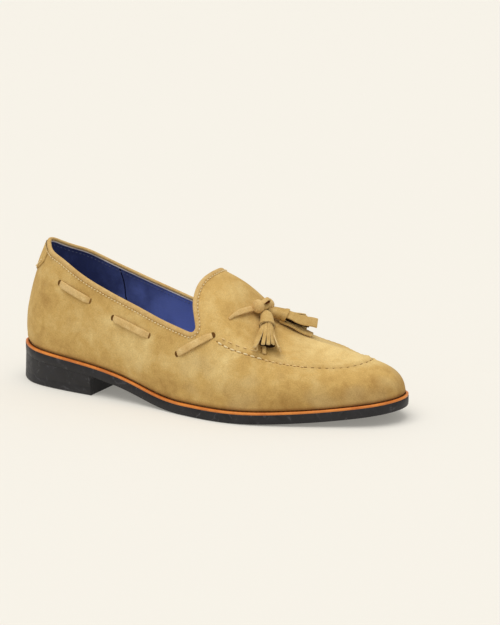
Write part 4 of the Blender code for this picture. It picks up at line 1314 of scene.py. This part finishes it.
def make_lining(looks):
    turns = mirrored_turns(np.linspace(0, 1, LINING_FINE[0]))
    ups = np.broadcast_to(np.linspace(0, 1, LINING_FINE[1]), (len(turns), LINING_FINE[1]))
    turn_grid = np.broadcast_to(turns[:, None], ups.shape)
    plain, _ = on_upper(turn_grid * math.pi, ups)
    rise, size, seed = LINING_WAVE
    points, _ = on_upper(turn_grid * math.pi, ups, -WALL + rise * ripple(plain, size, seed))
    faces, cuts = cut_grid(folded_index(*ups.shape), rim_depth(plain), -LINING_CUT)
    faces = [face[::-1] for face in faces]
    faces, points = used_only(faces, blended(points.reshape(-1, 3), cuts))
    piece("lining", points, faces, looks["lining"], "lining", sharp=180)


def rolled_outline():
    """The rolled edge's section: way down the wall, height over the wall's outside."""
    outside, inside = BINDING_PROUD, -WALL - BINDING_PROUD
    middle, half = (outside + inside) / 2, (outside - inside) / 2
    roll = [
        (half * 0.92 * (1 - math.sin(angle)), middle + half * math.cos(angle))
        for angle in np.linspace(0, math.pi, 11)
    ]
    outer = [(0.0035, -0.0004), (0.0034, 0.0001), (0.0030, 0.00034), (0.0022, 0.00046), (0.0016, 0.00044)]
    inner = [(0.0018, inside + 0.0001), (0.0025, inside + 0.0003), (0.0025, inside + 0.0010)]
    return np.array([*outer, *roll, *inner])


def make_lining_seams(looks):
    """The seam across the lining on either side of the waist, as a dark groove of painted shade."""
    for side, mirror in (("medial", 1), ("lateral", -1)):
        turns, heights = columns(LINING_SEAM)
        ups = np.linspace(heights[0], heights[-1], 40)
        turns = np.mod(mirror * spline(heights, turns)(ups), 2)
        path, way = on_upper(turns * math.pi, ups, -WALL - SEAM_GROOVE_PROUD)
        across = unit(np.cross(np.gradient(path, axis=0), way))
        groove = sweep(path, across, way, circle_points(8) * np.array(SEAM_GROOVE))
        piece(f"lining_seam_{side}", *groove, looks["seam"], "lining")


def make_binding(looks):
    """The rolled edge and its stitches, then the lining's top edge, stitches and seams."""
    points, normals, down = collar_loop(RIM_FINE)
    rise, size, seed = BINDING_WAVE
    path = points + normals * rise * ripple(points, size, seed)[:, None]
    band = sweep(path, down, normals, rolled_outline(), closed=True)
    piece("topline_binding_rolled", *band, looks["binding"], "suede_trim", ["topline_binding"], sharp=60)
    row = points + TOPLINE_ROW * down + TOPLINE_LIFT * normals
    threads = thread_row(row, normals, EDGE_PITCH, EDGE_STITCH, THREAD, closed=True)
    piece("topline_stitches", *threads, looks["cream"], "suede_trim")
    bead = points + LINING_BEAD * down - (WALL + LINING_BEAD_PROUD) * normals
    cord = sweep(bead, down, normals, LINING_BEAD_RADIUS * circle_points(8), closed=True)
    piece("lining_top_edge", *cord, looks["lining_edge"], "lining")
    inside = points + LINING_ROW * down - (WALL + LINING_ROW_PROUD) * normals
    pitch, thick = EDGE_PITCH * LINING_PITCH_SHARE, THREAD * LINING_THREAD_SHARE
    threads = thread_row(inside, -normals, pitch, EDGE_STITCH, thick, closed=True)
    piece("lining_stitches", *threads, looks["navy"], "lining")
    make_lining_seams(looks)


def grid_faces(rows, cols):
    """Quads of an open grid of points."""
    index = np.arange(rows * cols).reshape(rows, cols)
    corners = (index[1:, :-1], index[1:, 1:], index[:-1, 1:], index[:-1, :-1])
    return np.stack(corners, axis=2).reshape(-1, 4).tolist()


def tab_start(turns):
    """Share up of the heel tab's upper edge, under the binding."""
    edge = collar_side(False)
    return np.interp(np.abs(turns), edge[:, 0], edge[:, 1]) - (BINDING_HEIGHT - TAB_LAP) / wall_length(0.0)


def tab_fall(spread):
    """How far down the heel tab reaches, as a share up; spread is -1 and 1 at its sides."""
    return (TAB_HEIGHT - BINDING_HEIGHT + TAB_LAP) / wall_length(0.0) * np.sqrt(1 - TAB_ROUND * spread**2)


def make_heel_tab(looks):
    """The overlay at the back of the heel, with a soft edge and a row of stitches."""
    wall_run = wall_length(0.0)
    half_turn = TAB_SHARE * TAB_TURN
    rows, cols = TAB_FINE
    spread = np.sin(np.linspace(-1, 1, cols) * math.pi / 2)
    turns = half_turn * spread
    fall = tab_fall(spread)
    share = 1 - (1 - np.linspace(0, 1, rows)) ** 1.4
    ups = tab_start(turns) - fall * share[:, None]
    turn_grid = np.broadcast_to(turns, ups.shape)
    from_side = (1 - np.abs(spread)) * half_turn * math.pi * HEEL_RADIUS
    rim = np.minimum(from_side, fall * wall_run * (1 - share[:, None]))
    lift = relief(turn_grid % 2, ups) + TAB_THICK * np.sqrt(smooth_step(rim, -0.0001, SOFT_EDGE))
    lift = lift - TAB_GROOVE * bell(rim - TAB_ROW, TAB_GROOVE_REACH)
    points, _ = on_upper(turn_grid * math.pi, ups, lift)
    faces = grid_faces(rows, cols)
    tab = piece("heel_tab_suede", points.reshape(-1, 3), faces, looks["suede"], "suede", ["heel_tab"], 180)
    paint(tab, "tone_and_painted_light", tone_and_painted_light(points).reshape(-1) + TAB_TONE)
    # painted shade along the tab's edge
    paint(tab, "painted_shade", TAB_EDGE_SHADE * bell(rim, TAB_EDGE_SHADE_REACH).reshape(-1))
    across = np.linspace(-1, 1, 120)
    turns = half_turn * TAB_ROW_SHARE * across
    curve = np.sqrt(1 - TAB_ROUND * (TAB_ROW_CURVE * across) ** 2)
    low = tab_start(turns) - (tab_fall(0.0) - TAB_ROW / wall_run) * curve
    path, ways_up = on_upper(turns * math.pi, low, TAB_THICK)
    threads = thread_row(path, ways_up, EDGE_PITCH, EDGE_STITCH, THREAD, TAB_ROW_LIFT)
    piece("heel_tab_stitches", *threads, looks["cream"], "suede")


def on_suede(turn, up, lift=0.0):
    """A place on the suede with its seams and creases, and the normal there; turn is in half turns."""
    return on_upper(np.asarray(turn) * math.pi, up, relief(np.mod(turn, 2), up) + lift)


def seam_path(over, start, end, count):
    """Places along the moccasin seam, a distance above it, between two runs counted from the toe."""
    runs = np.linspace(start, end, count)
    turns = np.interp(runs, seam_runs, seam_turns)
    ups = apron_height(turns) + over / wall_length(turns)
    return on_suede(turns, ups)


def discs(places, normals, ways, sizes, lift):
    """Small dark ovals of painted shade that lie on the suede; ways are their long directions."""
    circle = circle_points(14)
    parts = []
    for place, normal, way in zip(places, normals, ways):
        way = unit(way - normal * (way @ normal))
        side = np.cross(normal, way)
        flat = place + sizes[0] * circle[:, :1] * way + sizes[1] * circle[:, 1:] * side + lift * normal
        parts.append((flat, [list(range(len(circle)))]))
    return joined(parts)


def make_apron_holes(looks, first):
    """Painted shade of the small holes at the ends of the pale stitches, and of larger notches between the
    puckers at the toe.
    """
    numbers = np.arange(-first, first)
    turns = np.interp(numbers * HAND_PITCH, seam_runs, seam_turns)
    places, normals = on_suede(turns, apron_height(turns) + SEAM_LIFT / wall_length(turns))
    ways = np.gradient(places, axis=0)
    toe = np.abs(numbers) <= PLAIN_TOE
    for name, chosen, look, size in (
        ("apron_holes", ~toe, "notch", HOLE_SIZE),
        ("apron_notches", toe, "hole", NOTCH_SIZE),
    ):
        holes = discs(places[chosen], normals[chosen], ways[chosen], size, HOLE_LIFT)
        piece(name, *holes, looks[look], "suede")


def make_apron_stitches(looks):
    """Hand stitches: long and pale at the throat, sinking into the puckers towards the toe."""
    reach = np.interp(APRON[0][0], seam_turns, seam_runs)
    first = round(-reach / HAND_PITCH) - 1
    bands = ((first, PALE_UNTIL, PALE_SIZE, "cream"), (PALE_UNTIL, PLAIN_TOE, TAN_SIZE, "tan"))
    for side, sign in (("lateral", -1), ("medial", 1)):
        for number, (far, close, size, look) in enumerate(bands, start=1):
            path, normals = seam_path(SEAM_LIFT, sign * far * HAND_PITCH, sign * close * HAND_PITCH, 240)
            # a hair less, so that rounding loses no stitch
            pitch = run_of(path)[-1] / abs(far - close) * 0.9999
            thick = THICK_THREAD * (0.5 + 0.5 * size)
            threads = thread_row(path, normals, pitch, HAND_STITCH * size, thick, HAND_LIFT)
            piece(f"apron_stitches_{side}_{number}", *threads, looks[look], "suede")
        start, end = sign * (first - 0.5) * HAND_PITCH, sign * (first - TOP_STITCHES) * HAND_PITCH
        path, normals = seam_path(TOP_ROW, start, end, 120)
        pitch = HAND_PITCH * TOP_PITCH_SHARE
        threads = thread_row(path, normals, pitch, HAND_STITCH, THREAD, TOP_LIFT)
        piece(f"apron_top_row_{side}", *threads, looks["tan"], "suede")
    make_apron_holes(looks, first)


def ribbon_edges(faces, corners, rings):
    """1 for the faces along a ribbon's two edges, 0 for the rest."""
    numbers = []
    for _ in range(rings - 1):
        for k in range(corners):
            angle = (k + 1) * 2 * math.pi / corners
            numbers.append(1 if abs(math.cos(angle)) > 0.96 else 0)
    numbers += [1] * (len(faces) - len(numbers))
    return numbers


def make_side_laces(looks):
    """Bars of the lace between its slots; each end dips into its slot."""
    share = np.linspace(-0.01, 1.01, BAR_RINGS)
    arch = BAR_ARCH * np.sin(math.pi * np.clip(share, 0, 1)) ** 0.6
    for side, mirror in (("lateral", 1), ("medial", -1)):
        for number, (turn0, up0, turn1, up1) in enumerate(SIDE_LACE, start=1):
            turns = np.mod(mirror * (turn0 + (turn1 - turn0) * share), 2)
            ups = up0 + (up1 - up0) * share
            flat, _ = on_suede(turns, ups)
            run = run_of(flat)
            end_gap = np.minimum(run, run[-1] - run)
            sink = BAR_SINK * (1 - smooth_step(end_gap, 0.0, BAR_SINK_RUN))
            path, normals = on_suede(turns, ups, GAP + arch - sink)
            narrow = BAR_END + (1 - BAR_END) * smooth_step(end_gap, 0.0, BAR_END_RUN)
            points, faces = ribbon(path, normals, BAR_FULLER * LACE_WIDTH * narrow, LACE_THICK)
            finish = ((looks["lace"], looks["cut"]), ribbon_edges(faces, 16, BAR_RINGS))
            replaced = [f"lace_bar_{side}_{number}"]
            piece(f"lace_{side}_{number}", points, faces, finish, "suede_trim", replaced, 60)


def make_slots(looks):
    """Painted shade of the slots that the lace runs through; it lies tight over the front end of the two
    rear ones, with a paler painted shade there.
    """
    open_ends, tight_ends = [], []
    for mirror in (1, -1):
        for number, (turn0, up0, turn1, up1) in enumerate(SIDE_LACE):
            ends = np.array(((turn0, up0), (turn1, up1)))
            way = unit(ends[1] - ends[0])
            for sign, end in ((-1, ends[0]), (1, ends[1])):
                outer = end + sign * 0.010 * way
                turns = np.mod(mirror * np.array((end[0], outer[0])), 2)
                spots, ups = on_suede(turns, np.array((end[1], outer[1])))
                outward = unit(spots[1] - spots[0])
                tight = sign > 0 and number < 2
                shift = TIGHT_SHIFT if tight else SLOT_SHIFT
                (tight_ends if tight else open_ends).append((spots[0] + shift * outward, ups[0], outward))
    for name, ends, look, size in (
        ("lace_slots", open_ends, "hole", SLOT_SIZE),
        ("lace_dips", tight_ends, "notch", TIGHT_SIZE),
    ):
        piece(name, *discs(*zip(*ends), size, SLOT_LIFT), looks[look], "suede")


# Front lace, knot and tassels

def knot_frame():
    """The knot's centre and its ways across the shoe, along it and up."""
    foot, up = over_upper(*KNOT_PLACE)
    ahead, _ = over_upper(KNOT_PLACE[0] + 0.01, KNOT_PLACE[1])
    along = unit(ahead - foot)
    across = unit(np.cross(up, along))
    up = np.cross(along, across)
    return foot + KNOT_RISE * up, across, along, up


def make_front_lace(looks):
    """Both halves of the front lace, each a free strap from its slot into the knot."""
    turns, ups, lifts = columns(FRONT_LACE)
    points, normals = on_upper(turns * math.pi, ups, GAP + FRONT_LIFT + lifts * LACE_THICK)
    path, ways_up = smooth_path(points, normals, FRONT_RINGS)
    middle = len(path) // 2 + 1
    halves = {"lateral": slice(0, middle), "medial": slice(len(path) - 1, middle - 3, -1)}
    made = {}
    for side, part in halves.items():
        way, up = path[part], ways_up[part]
        run = run_of(way)
        share = smooth_step(run, 0.0, FRONT_END_RUN)
        way = way - up * (FRONT_DIP * (1 - smooth_step(run, 0.0, FRONT_DIP_RUN)))[:, None]
        roll = -FRONT_ROLL if side == "lateral" else FRONT_ROLL
        widths = LACE_WIDTH * (FRONT_END + (1 - FRONT_END) * share)
        points, faces = ribbon(way, up, widths, LACE_THICK, roll * (1 - share))
        finish = ((looks["lace"], looks["cut"]), ribbon_edges(faces, 16, len(way)))
        replaced = ["lace_front"] if side == "lateral" else []
        lace = piece(f"front_lace_{side}", points, faces, finish, "suede_trim", replaced, 60)
        centre = way + up * (LACE_THICK / 2)
        made[side] = (lace, put_origin(centre), float(run_of(centre)[-1]))
    return made


def lump(sizes, axes, centre):
    """A blunt rounded lump with its half sizes along three axes."""
    tilt = np.linspace(0, math.pi, 20)[:, None]
    angle = full_turn(28)
    girth = np.sin(tilt) ** 0.5
    ball = np.stack((-np.cos(tilt) + 0 * angle, girth * np.cos(angle), girth * np.sin(angle)), axis=2)
    points = (ball * np.array(sizes)) @ axes + centre
    return points.reshape(-1, 3), band_faces(len(tilt), len(angle))


def knot_turn(middle, way, up, width, ahead, rise):
    """One turn of the lace round the knot, a flat strap bent into an oval ring."""
    turn = full_turn(48)[:, None]
    ring = middle + ahead * np.cos(turn) * way + rise * np.sin(turn) * up
    outward = unit(ring - middle)
    sides = unit(np.cross(np.roll(ring, -1, axis=0) - np.roll(ring, 1, axis=0), outward))
    section = round_outline(width, TURN_THICK, 20, 2.4)
    section[:, 1] -= TURN_CROWN * (section[:, 0] / (width / 2)) ** 2 + TURN_SINK
    return sweep(ring, sides, outward, section, closed=True)


def make_knot(looks):
    """Two rounded turns of lace side by side over a core, and a small loop behind them."""
    centre, across, along, up = knot_frame()
    axes = np.stack((across, along, up))
    points, faces = lump(KNOT_CORE, axes, centre)
    made = [piece("knot_core", points, faces, looks["trim"], "suede_trim", ["lace_knot"])]
    parts = []
    for lean, aside, forward, width, ahead, rise in KNOT_TURNS:
        middle = centre + aside * across + forward * along
        way = math.cos(lean) * along + math.sin(lean) * across
        parts.append(knot_turn(middle, way, up, width, ahead, rise))
        sizes = np.array(TURN_FILL) * (width, ahead, rise)
        parts.append(lump(sizes, np.stack((unit(np.cross(way, up)), way, up)), middle))
    # a dark lump of painted shade where the loop leaves a hollow
    points, faces = lump(KNOT_HOLLOW, axes, centre + KNOT_HOLLOW_UP * up)
    made.append(piece("knot_hollow", points, faces, looks["joint"], "suede_trim"))
    made.append(piece("knot_turns", *joined(parts), looks["lace"], "suede_trim"))
    half, height, width, behind = KNOT_LOOP
    share = np.linspace(0, math.pi, 30)[:, None]
    foot = centre - behind * along
    loop = foot + np.cos(share) * across * half + np.sin(share) * (height * up - behind / 2 * along)
    points, faces = ribbon(loop, unit(loop - foot), width, LOOP_THICK)
    finish = ((looks["lace"], looks["cut"]), ribbon_edges(faces, 16, len(loop)))
    made.append(piece("knot_loop", points, faces, finish, "suede_trim"))
    return made


def tassel_way(route):
    """A tassel's way over the upper: points, normals, and the distance run so far."""
    plan, _ = smooth_path(np.array(route), np.array(route), 40)
    path, ups = (np.array(rows) for rows in zip(*(over_upper(*place) for place in plan)))
    return path, ups, run_of(path)


def frames_along(way, distances):
    """Foot points, side and up ways at distances along a tassel's way."""
    path, ups, run = way
    foot = np.stack([np.interp(distances, run, column) for column in path.T], axis=1)
    past = np.clip(distances - run[-1], 0, None)[:, None]
    short = np.clip(distances - run[0], None, 0)[:, None]
    foot = foot + past * unit(path[-1] - path[-2]) + short * unit(path[1] - path[0])
    up = unit(np.stack([np.interp(distances, run, column) for column in ups.T], axis=1))
    side = unit(np.cross(np.gradient(foot, axis=0), up))
    return foot, side, up


def over_way(way, distances, sideways, heights):
    """Points beside a tassel's way, at heights over the suede below them."""
    foot, side, _ = frames_along(way, distances)
    dropped = [drop(point[:2]) for point in foot + sideways[:, None] * side]
    ground, ground_up = (np.array(rows) for rows in zip(*dropped))
    return ground + heights[:, None] * ground_up, side, ground_up


def tassel_rise(name, distances, length):
    """How far a tassel's middle line stands off at distances along its way."""
    return TASSEL_LIFT[name] * np.clip(distances / length, 0, None) ** TASSEL_BEND


def make_cap(name, way, looks):
    """The rolled cap, dark inside its mouth, and the cuff on its last rings."""
    cap_length = CAP_SHARE[name] * CAP_LENGTH
    distances = np.linspace(CAP_START, cap_length, CAP_RINGS)
    radius = CAP_FULLER * CAP_RADIUS * np.interp(distances / cap_length, *CAP_SWELL)
    foot, side, up = frames_along(way, distances)
    lift = tassel_rise(name, distances, way[2][-1])
    centre = foot + (radius * FRINGE_MIDDLE + GAP + FRINGE_PLAY + lift)[:, None] * up
    circle = full_turn(CAP_CORNERS)
    step, low, high = CAP_LAP
    spiral = 1 - step * smooth_step(circle, 0.0, low) * (1 - smooth_step(circle, low, high))
    across, upward = np.cos(circle + CAP_TURN), CAP_FLATTER * np.sin(circle + CAP_TURN)
    section = np.stack((across * spiral, upward * spiral), axis=1)
    shapes = radius[:, None, None] * section
    rings = [centre[k] + side[k] * shapes[k, :, :1] + up[k] * shapes[k, :, 1:] for k in range(CAP_RINGS)]
    ahead = unit(centre[-1] - centre[-2])
    for depth, shrink in CAP_MOUTH:
        rings.append(centre[-1] - depth * ahead + shrink * (rings[CAP_RINGS - 1] - centre[-1]))
    faces = band_faces(len(rings), len(circle))
    outer = (CAP_RINGS - 1) * len(circle)
    finish = ((looks["trim"], looks["cut"]), [0] * outer + [1] * (len(faces) - outer))
    points = np.concatenate(rings)
    cap = piece(f"tassel_{name}_cap", points, faces, finish, "suede_trim", [f"tassel_{name}"], 50)
    last = slice(CAP_RINGS - CUFF_RINGS, CAP_RINGS)
    points, faces = sweep(centre[last], side[last], up[last], shapes[last] * CUFF_FULLER)
    return cap, piece(f"tassel_{name}_cuff", points, faces[:-2], looks["trim"], "suede_trim")


def fringe_half(share, done):
    """The fringe's half width, and its half height, at shares of its length."""
    start, end = CAP_RADIUS * FRINGE_ROOT, FRINGE_SPREAD * share * FRINGE_SHARE
    return start + (end - start) * done**0.8, CAP_RADIUS * FRINGE_HIGH - FRINGE_FLATTER * done


def fringe_middle(done):
    """Height of the fringe's middle over the suede, before it's lifted."""
    return CAP_RADIUS * FRINGE_MIDDLE * (1 - FRINGE_SAG * done) + FRINGE_PLAY


def outer_strand(name, share, way, number, strip):
    """One strip on the fringe's outside."""
    angle, facing, width, reach, flare, curl = strip
    angle, facing = math.radians(angle), math.radians(facing)
    length = way[2][-1]
    cap_length = CAP_SHARE[name] * CAP_LENGTH
    run = np.linspace(STRIP_ROOTS[0], (length - cap_length) * reach, OUTER_RINGS)
    done = np.clip(run / (length - cap_length), 0, 1.1)
    half_width, half_height = fringe_half(share, done)
    outset = flare * done**2 + curl * np.clip((done - CURL_FROM) / CURL_RUN, 0, 1) ** 2
    lift = tassel_rise(name, run + cap_length, length) * (1 if math.sin(angle) > 0 else LOW_LIFT)
    heights = fringe_middle(done) + (half_height + outset) * math.sin(angle) + lift
    wave = STRIP_WAVE * np.sin(9 * done + number * 1.7)
    heights = np.maximum(heights + wave, STRIP_CLEAR + 0.5 * STRIP_THICK)
    sideways = (half_width + outset) * math.cos(angle)
    path, sides, ups = over_way(way, run + cap_length, sideways, heights)
    outward = math.cos(facing) * sides + math.sin(facing) * ups
    places, shares = STRIP_NARROW
    narrow = width * np.interp(done, places, (*shares[:2], shares[2] - 0.04 * (number % 3)))
    return ribbon(path - outward * STRIP_THICK / 2, outward, narrow, STRIP_THICK, square=STRIP_SQUARE)


def inner_strand(name, way, strip):
    """One strip inside the fringe."""
    aside, low, reach, width = strip
    length = way[2][-1]
    cap_length = CAP_SHARE[name] * CAP_LENGTH
    run = np.linspace(STRIP_ROOTS[1], (length - cap_length) * reach, INNER_RINGS)
    done = np.clip(run / (length - cap_length), 0, 1.1)
    sideways = aside * CAP_RADIUS * (1 + INNER_SPREAD * done)
    heights = CAP_RADIUS * (INNER_MIDDLE + low) - INNER_FALL * done + LOW_LIFT * TASSEL_LIFT[name] * done
    path, _, ups = over_way(way, run + cap_length, sideways, heights)
    return ribbon(path, ups, width, STRIP_THICK, INNER_LEAN * aside, square=STRIP_SQUARE)


def make_hollow(name, share, way, looks):
    """A dark core of painted shade in the space between the strips."""
    length = way[2][-1]
    cap_length = CAP_SHARE[name] * CAP_LENGTH
    run = np.linspace(STRIP_ROOTS[2], (length - cap_length) * HOLLOW[0], 12)
    done = np.clip(run / (length - cap_length), 0, 1)
    heights = fringe_middle(done) + 0.8 * tassel_rise(name, run + cap_length, length)
    path, sides, ups = over_way(way, run + cap_length, 0 * run, heights)
    halves = np.stack(fringe_half(share, done), axis=1)
    shapes = circle_points(24) * (HOLLOW[1] * halves)[:, None]
    return piece(f"tassel_{name}_hollow", *sweep(path, sides, ups, shapes), looks["deep"], "suede_trim")


def make_tassel(name, share, route, looks):
    """A rolled cap with a cuff, and strips arranged round a hollow fringe."""
    way = tassel_way(route)
    cap, cuff = make_cap(name, way, looks)
    parts, numbers = [], []
    for number, strip in enumerate(STRANDS[name]):
        strand = outer_strand(name, share, way, number, strip)
        parts.append(strand)
        numbers += ribbon_edges(strand[1], 16, OUTER_RINGS)
    for strip in INNER_STRANDS:
        strand = inner_strand(name, way, strip)
        parts.append(strand)
        numbers += ribbon_edges(strand[1], 16, INNER_RINGS)
    finish = ((looks["trim"], looks["cut"]), numbers)
    fringe = piece(f"tassel_{name}_fringe", *joined(parts), finish, "suede_trim", sharp=55)
    return [cap, cuff, fringe, make_hollow(name, share, way, looks)]


# Sole

def level_points(turns, levels):
    """Rings of points within the sole's outline; each level is an inset and a height function."""
    rings = []
    for inset, height in levels:
        x, y = inset_outline(turns, inset)
        rings.append(np.stack((x, y, height(x)), axis=1))
    return np.concatenate(rings)


def plate(levels, end=math.pi, count=WELT_FINE):
    """A closed plate from the heel to the end angle, its two faces made of rungs from side to side."""
    lateral = np.linspace(0, end, round(count / 2 * max(end / math.pi, 0.5)) + 1)
    medial = -lateral[::-1][:-1]
    if end == math.pi:
        medial = medial[1:]
    turns = np.concatenate((lateral, medial))
    count = len(turns)
    faces = band_faces(len(levels), count)
    for first in (0, (len(levels) - 1) * count):
        rungs = []
        for k in range(len(lateral) - 1):
            rung = (k, k + 1, count - k - 1, (count - k) % count)
            rungs.append([first + corner for corner in dict.fromkeys(rung)])
        faces += [rung[::-1] for rung in rungs] if first == 0 else rungs
    return level_points(turns, levels), faces


def make_outsole(looks):
    """The sole: its lower edge is rounded, and its upper edge laps over the welt's foot."""

    def top(x):
        return underside(x) + SOLE_THICK

    levels = (
        (0.0009, underside),
        (0.0003, lambda x: underside(x) + 0.0002),
        (0.0, lambda x: underside(x) + 0.0007),
        (-0.0001, lambda x: underside(x) + SOLE_THICK / 2),
        (-0.0001, lambda x: top(x) + 0.0002),
        (0.0002, lambda x: top(x) + 0.0006),
        (0.0008, lambda x: top(x) + 0.0006),
    )
    piece("outsole_edge", *plate(levels), looks["sole"], "sole", ["outsole"], 60)


def make_heel(looks):
    """The heel stack: narrower at its foot, with a line round its lowest layer."""
    levels = (
        (HEEL_TAPER + 0.0007, lambda x: 0 * x),
        (HEEL_TAPER + 0.0002, lambda x: 0 * x + 0.0002),
        (HEEL_TAPER, lambda x: 0 * x + 0.0007),
        (HEEL_TAPER * 0.8, lambda x: 0 * x + HEEL_LINE - 0.0003),
        (HEEL_TAPER * 0.8 + 0.0001, lambda x: 0 * x + HEEL_LINE),
        (HEEL_TAPER * 0.8, lambda x: 0 * x + HEEL_LINE + 0.0003),
        (0.0001, lambda x: underside(x) - GAP - 0.0004),
        (0.0002, lambda x: underside(x) + 0.0003),
    )
    points, faces = plate(levels, end=math.acos(1 - 2 * HEEL_BREAST))
    lowness = np.clip(1 - points[:, 2] / HEEL_LIFT, 0, None)
    backness = np.clip(1 - points[:, 0] / (LENGTH * HEEL_BREAST), 0, None)
    points[:, 0] -= (HEEL_TAPER + HEEL_RAKE) * lowness * backness
    piece("heel_stack", points, faces, looks["sole"], "sole", ["heel"], 50)


def make_welt(looks):
    """The orange band, its stitches and a dark line of painted shade where it meets the suede."""
    turns = full_turn(WELT_FINE)

    def low(x):
        return underside(x) + SOLE_THICK - 0.0001

    def top(x):
        return welt_top(x) - WELT_WORN

    levels = (
        (0.0004, low),
        (0.0001, lambda x: low(x) + 0.0004),
        (0.0, lambda x: top(x) - 0.0007),
        (0.0001, lambda x: top(x) - 0.0003),
        (0.0004, lambda x: top(x) - 0.0001),
        (0.0009, top),
        (WELT_SHOW - 0.0005, lambda x: top(x) - 0.0001),
        (WELT_SHOW + WALL, lambda x: top(x) - 0.0004),
        (WELT_SHOW + WALL, low),
    )
    points = level_points(turns, levels)
    faces = band_faces(len(levels), len(turns), closed=True)
    piece("welt_band", points, faces, looks["welt"], "welt", ["welt"], 70)
    x, y = inset_outline(turns, WELT_SHOW - 0.0009)
    row = np.stack((x, y, top(x)), axis=1)
    upward = np.broadcast_to((0.0, 0.0, 1.0), row.shape)
    threads = thread_row(row, upward, WELT_PITCH, WELT_STITCH, WELT_THREAD, closed=True)
    piece("welt_stitches", *threads, looks["brown"], "welt")
    # painted shade in the gap between the suede and the welt
    x, y = inset_outline(turns, WELT_SHOW - 0.0003)
    crease = np.stack((x, y, top(x)), axis=1)
    outward = unit(np.cross(np.roll(crease, -1, axis=0) - np.roll(crease, 1, axis=0), upward))
    dark = sweep(crease, outward, upward, circle_points(8) * np.array(WELT_CREASE), closed=True)
    piece("welt_crease", *dark, looks["joint"], "welt")


def make_insole(looks):
    """The sock: a thin blue leather floor, rounded up at its border."""

    def high(x):
        return welt_top(x) + INSOLE_PROUD

    inset = WELT_SHOW + WALL + GAP
    levels = (
        (inset, lambda x: underside(x) + SOLE_THICK + GAP),
        (inset - INSOLE_TUCK, lambda x: high(x) - 0.0006),
        (inset - INSOLE_TUCK + 0.0003, lambda x: high(x) - 0.0001),
        (inset - INSOLE_TUCK + 0.0010, high),
    )
    piece("insole_sock", *plate(levels, count=300), looks["lining"], "lining", ["insole"], 60)


def main():
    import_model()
    bpy.context.scene.view_settings.view_transform = "Standard"
    looks = make_looks()
    make_camera()
    laces = make_front_lace(looks)
    knot = make_knot(looks)
    hung = {name: make_tassel(name, share, route, looks) for name, (share, route) in TASSELS.items()}
    hung["lateral"] += knot
    make_light()
    make_floor(looks)
    make_upper(looks)
    make_lining(looks)
    make_binding(looks)
    make_heel_tab(looks)
    make_apron_stitches(looks)
    make_side_laces(looks)
    make_slots(looks)
    make_outsole(looks)
    make_heel(looks)
    make_welt(looks)
    make_insole(looks)


main()
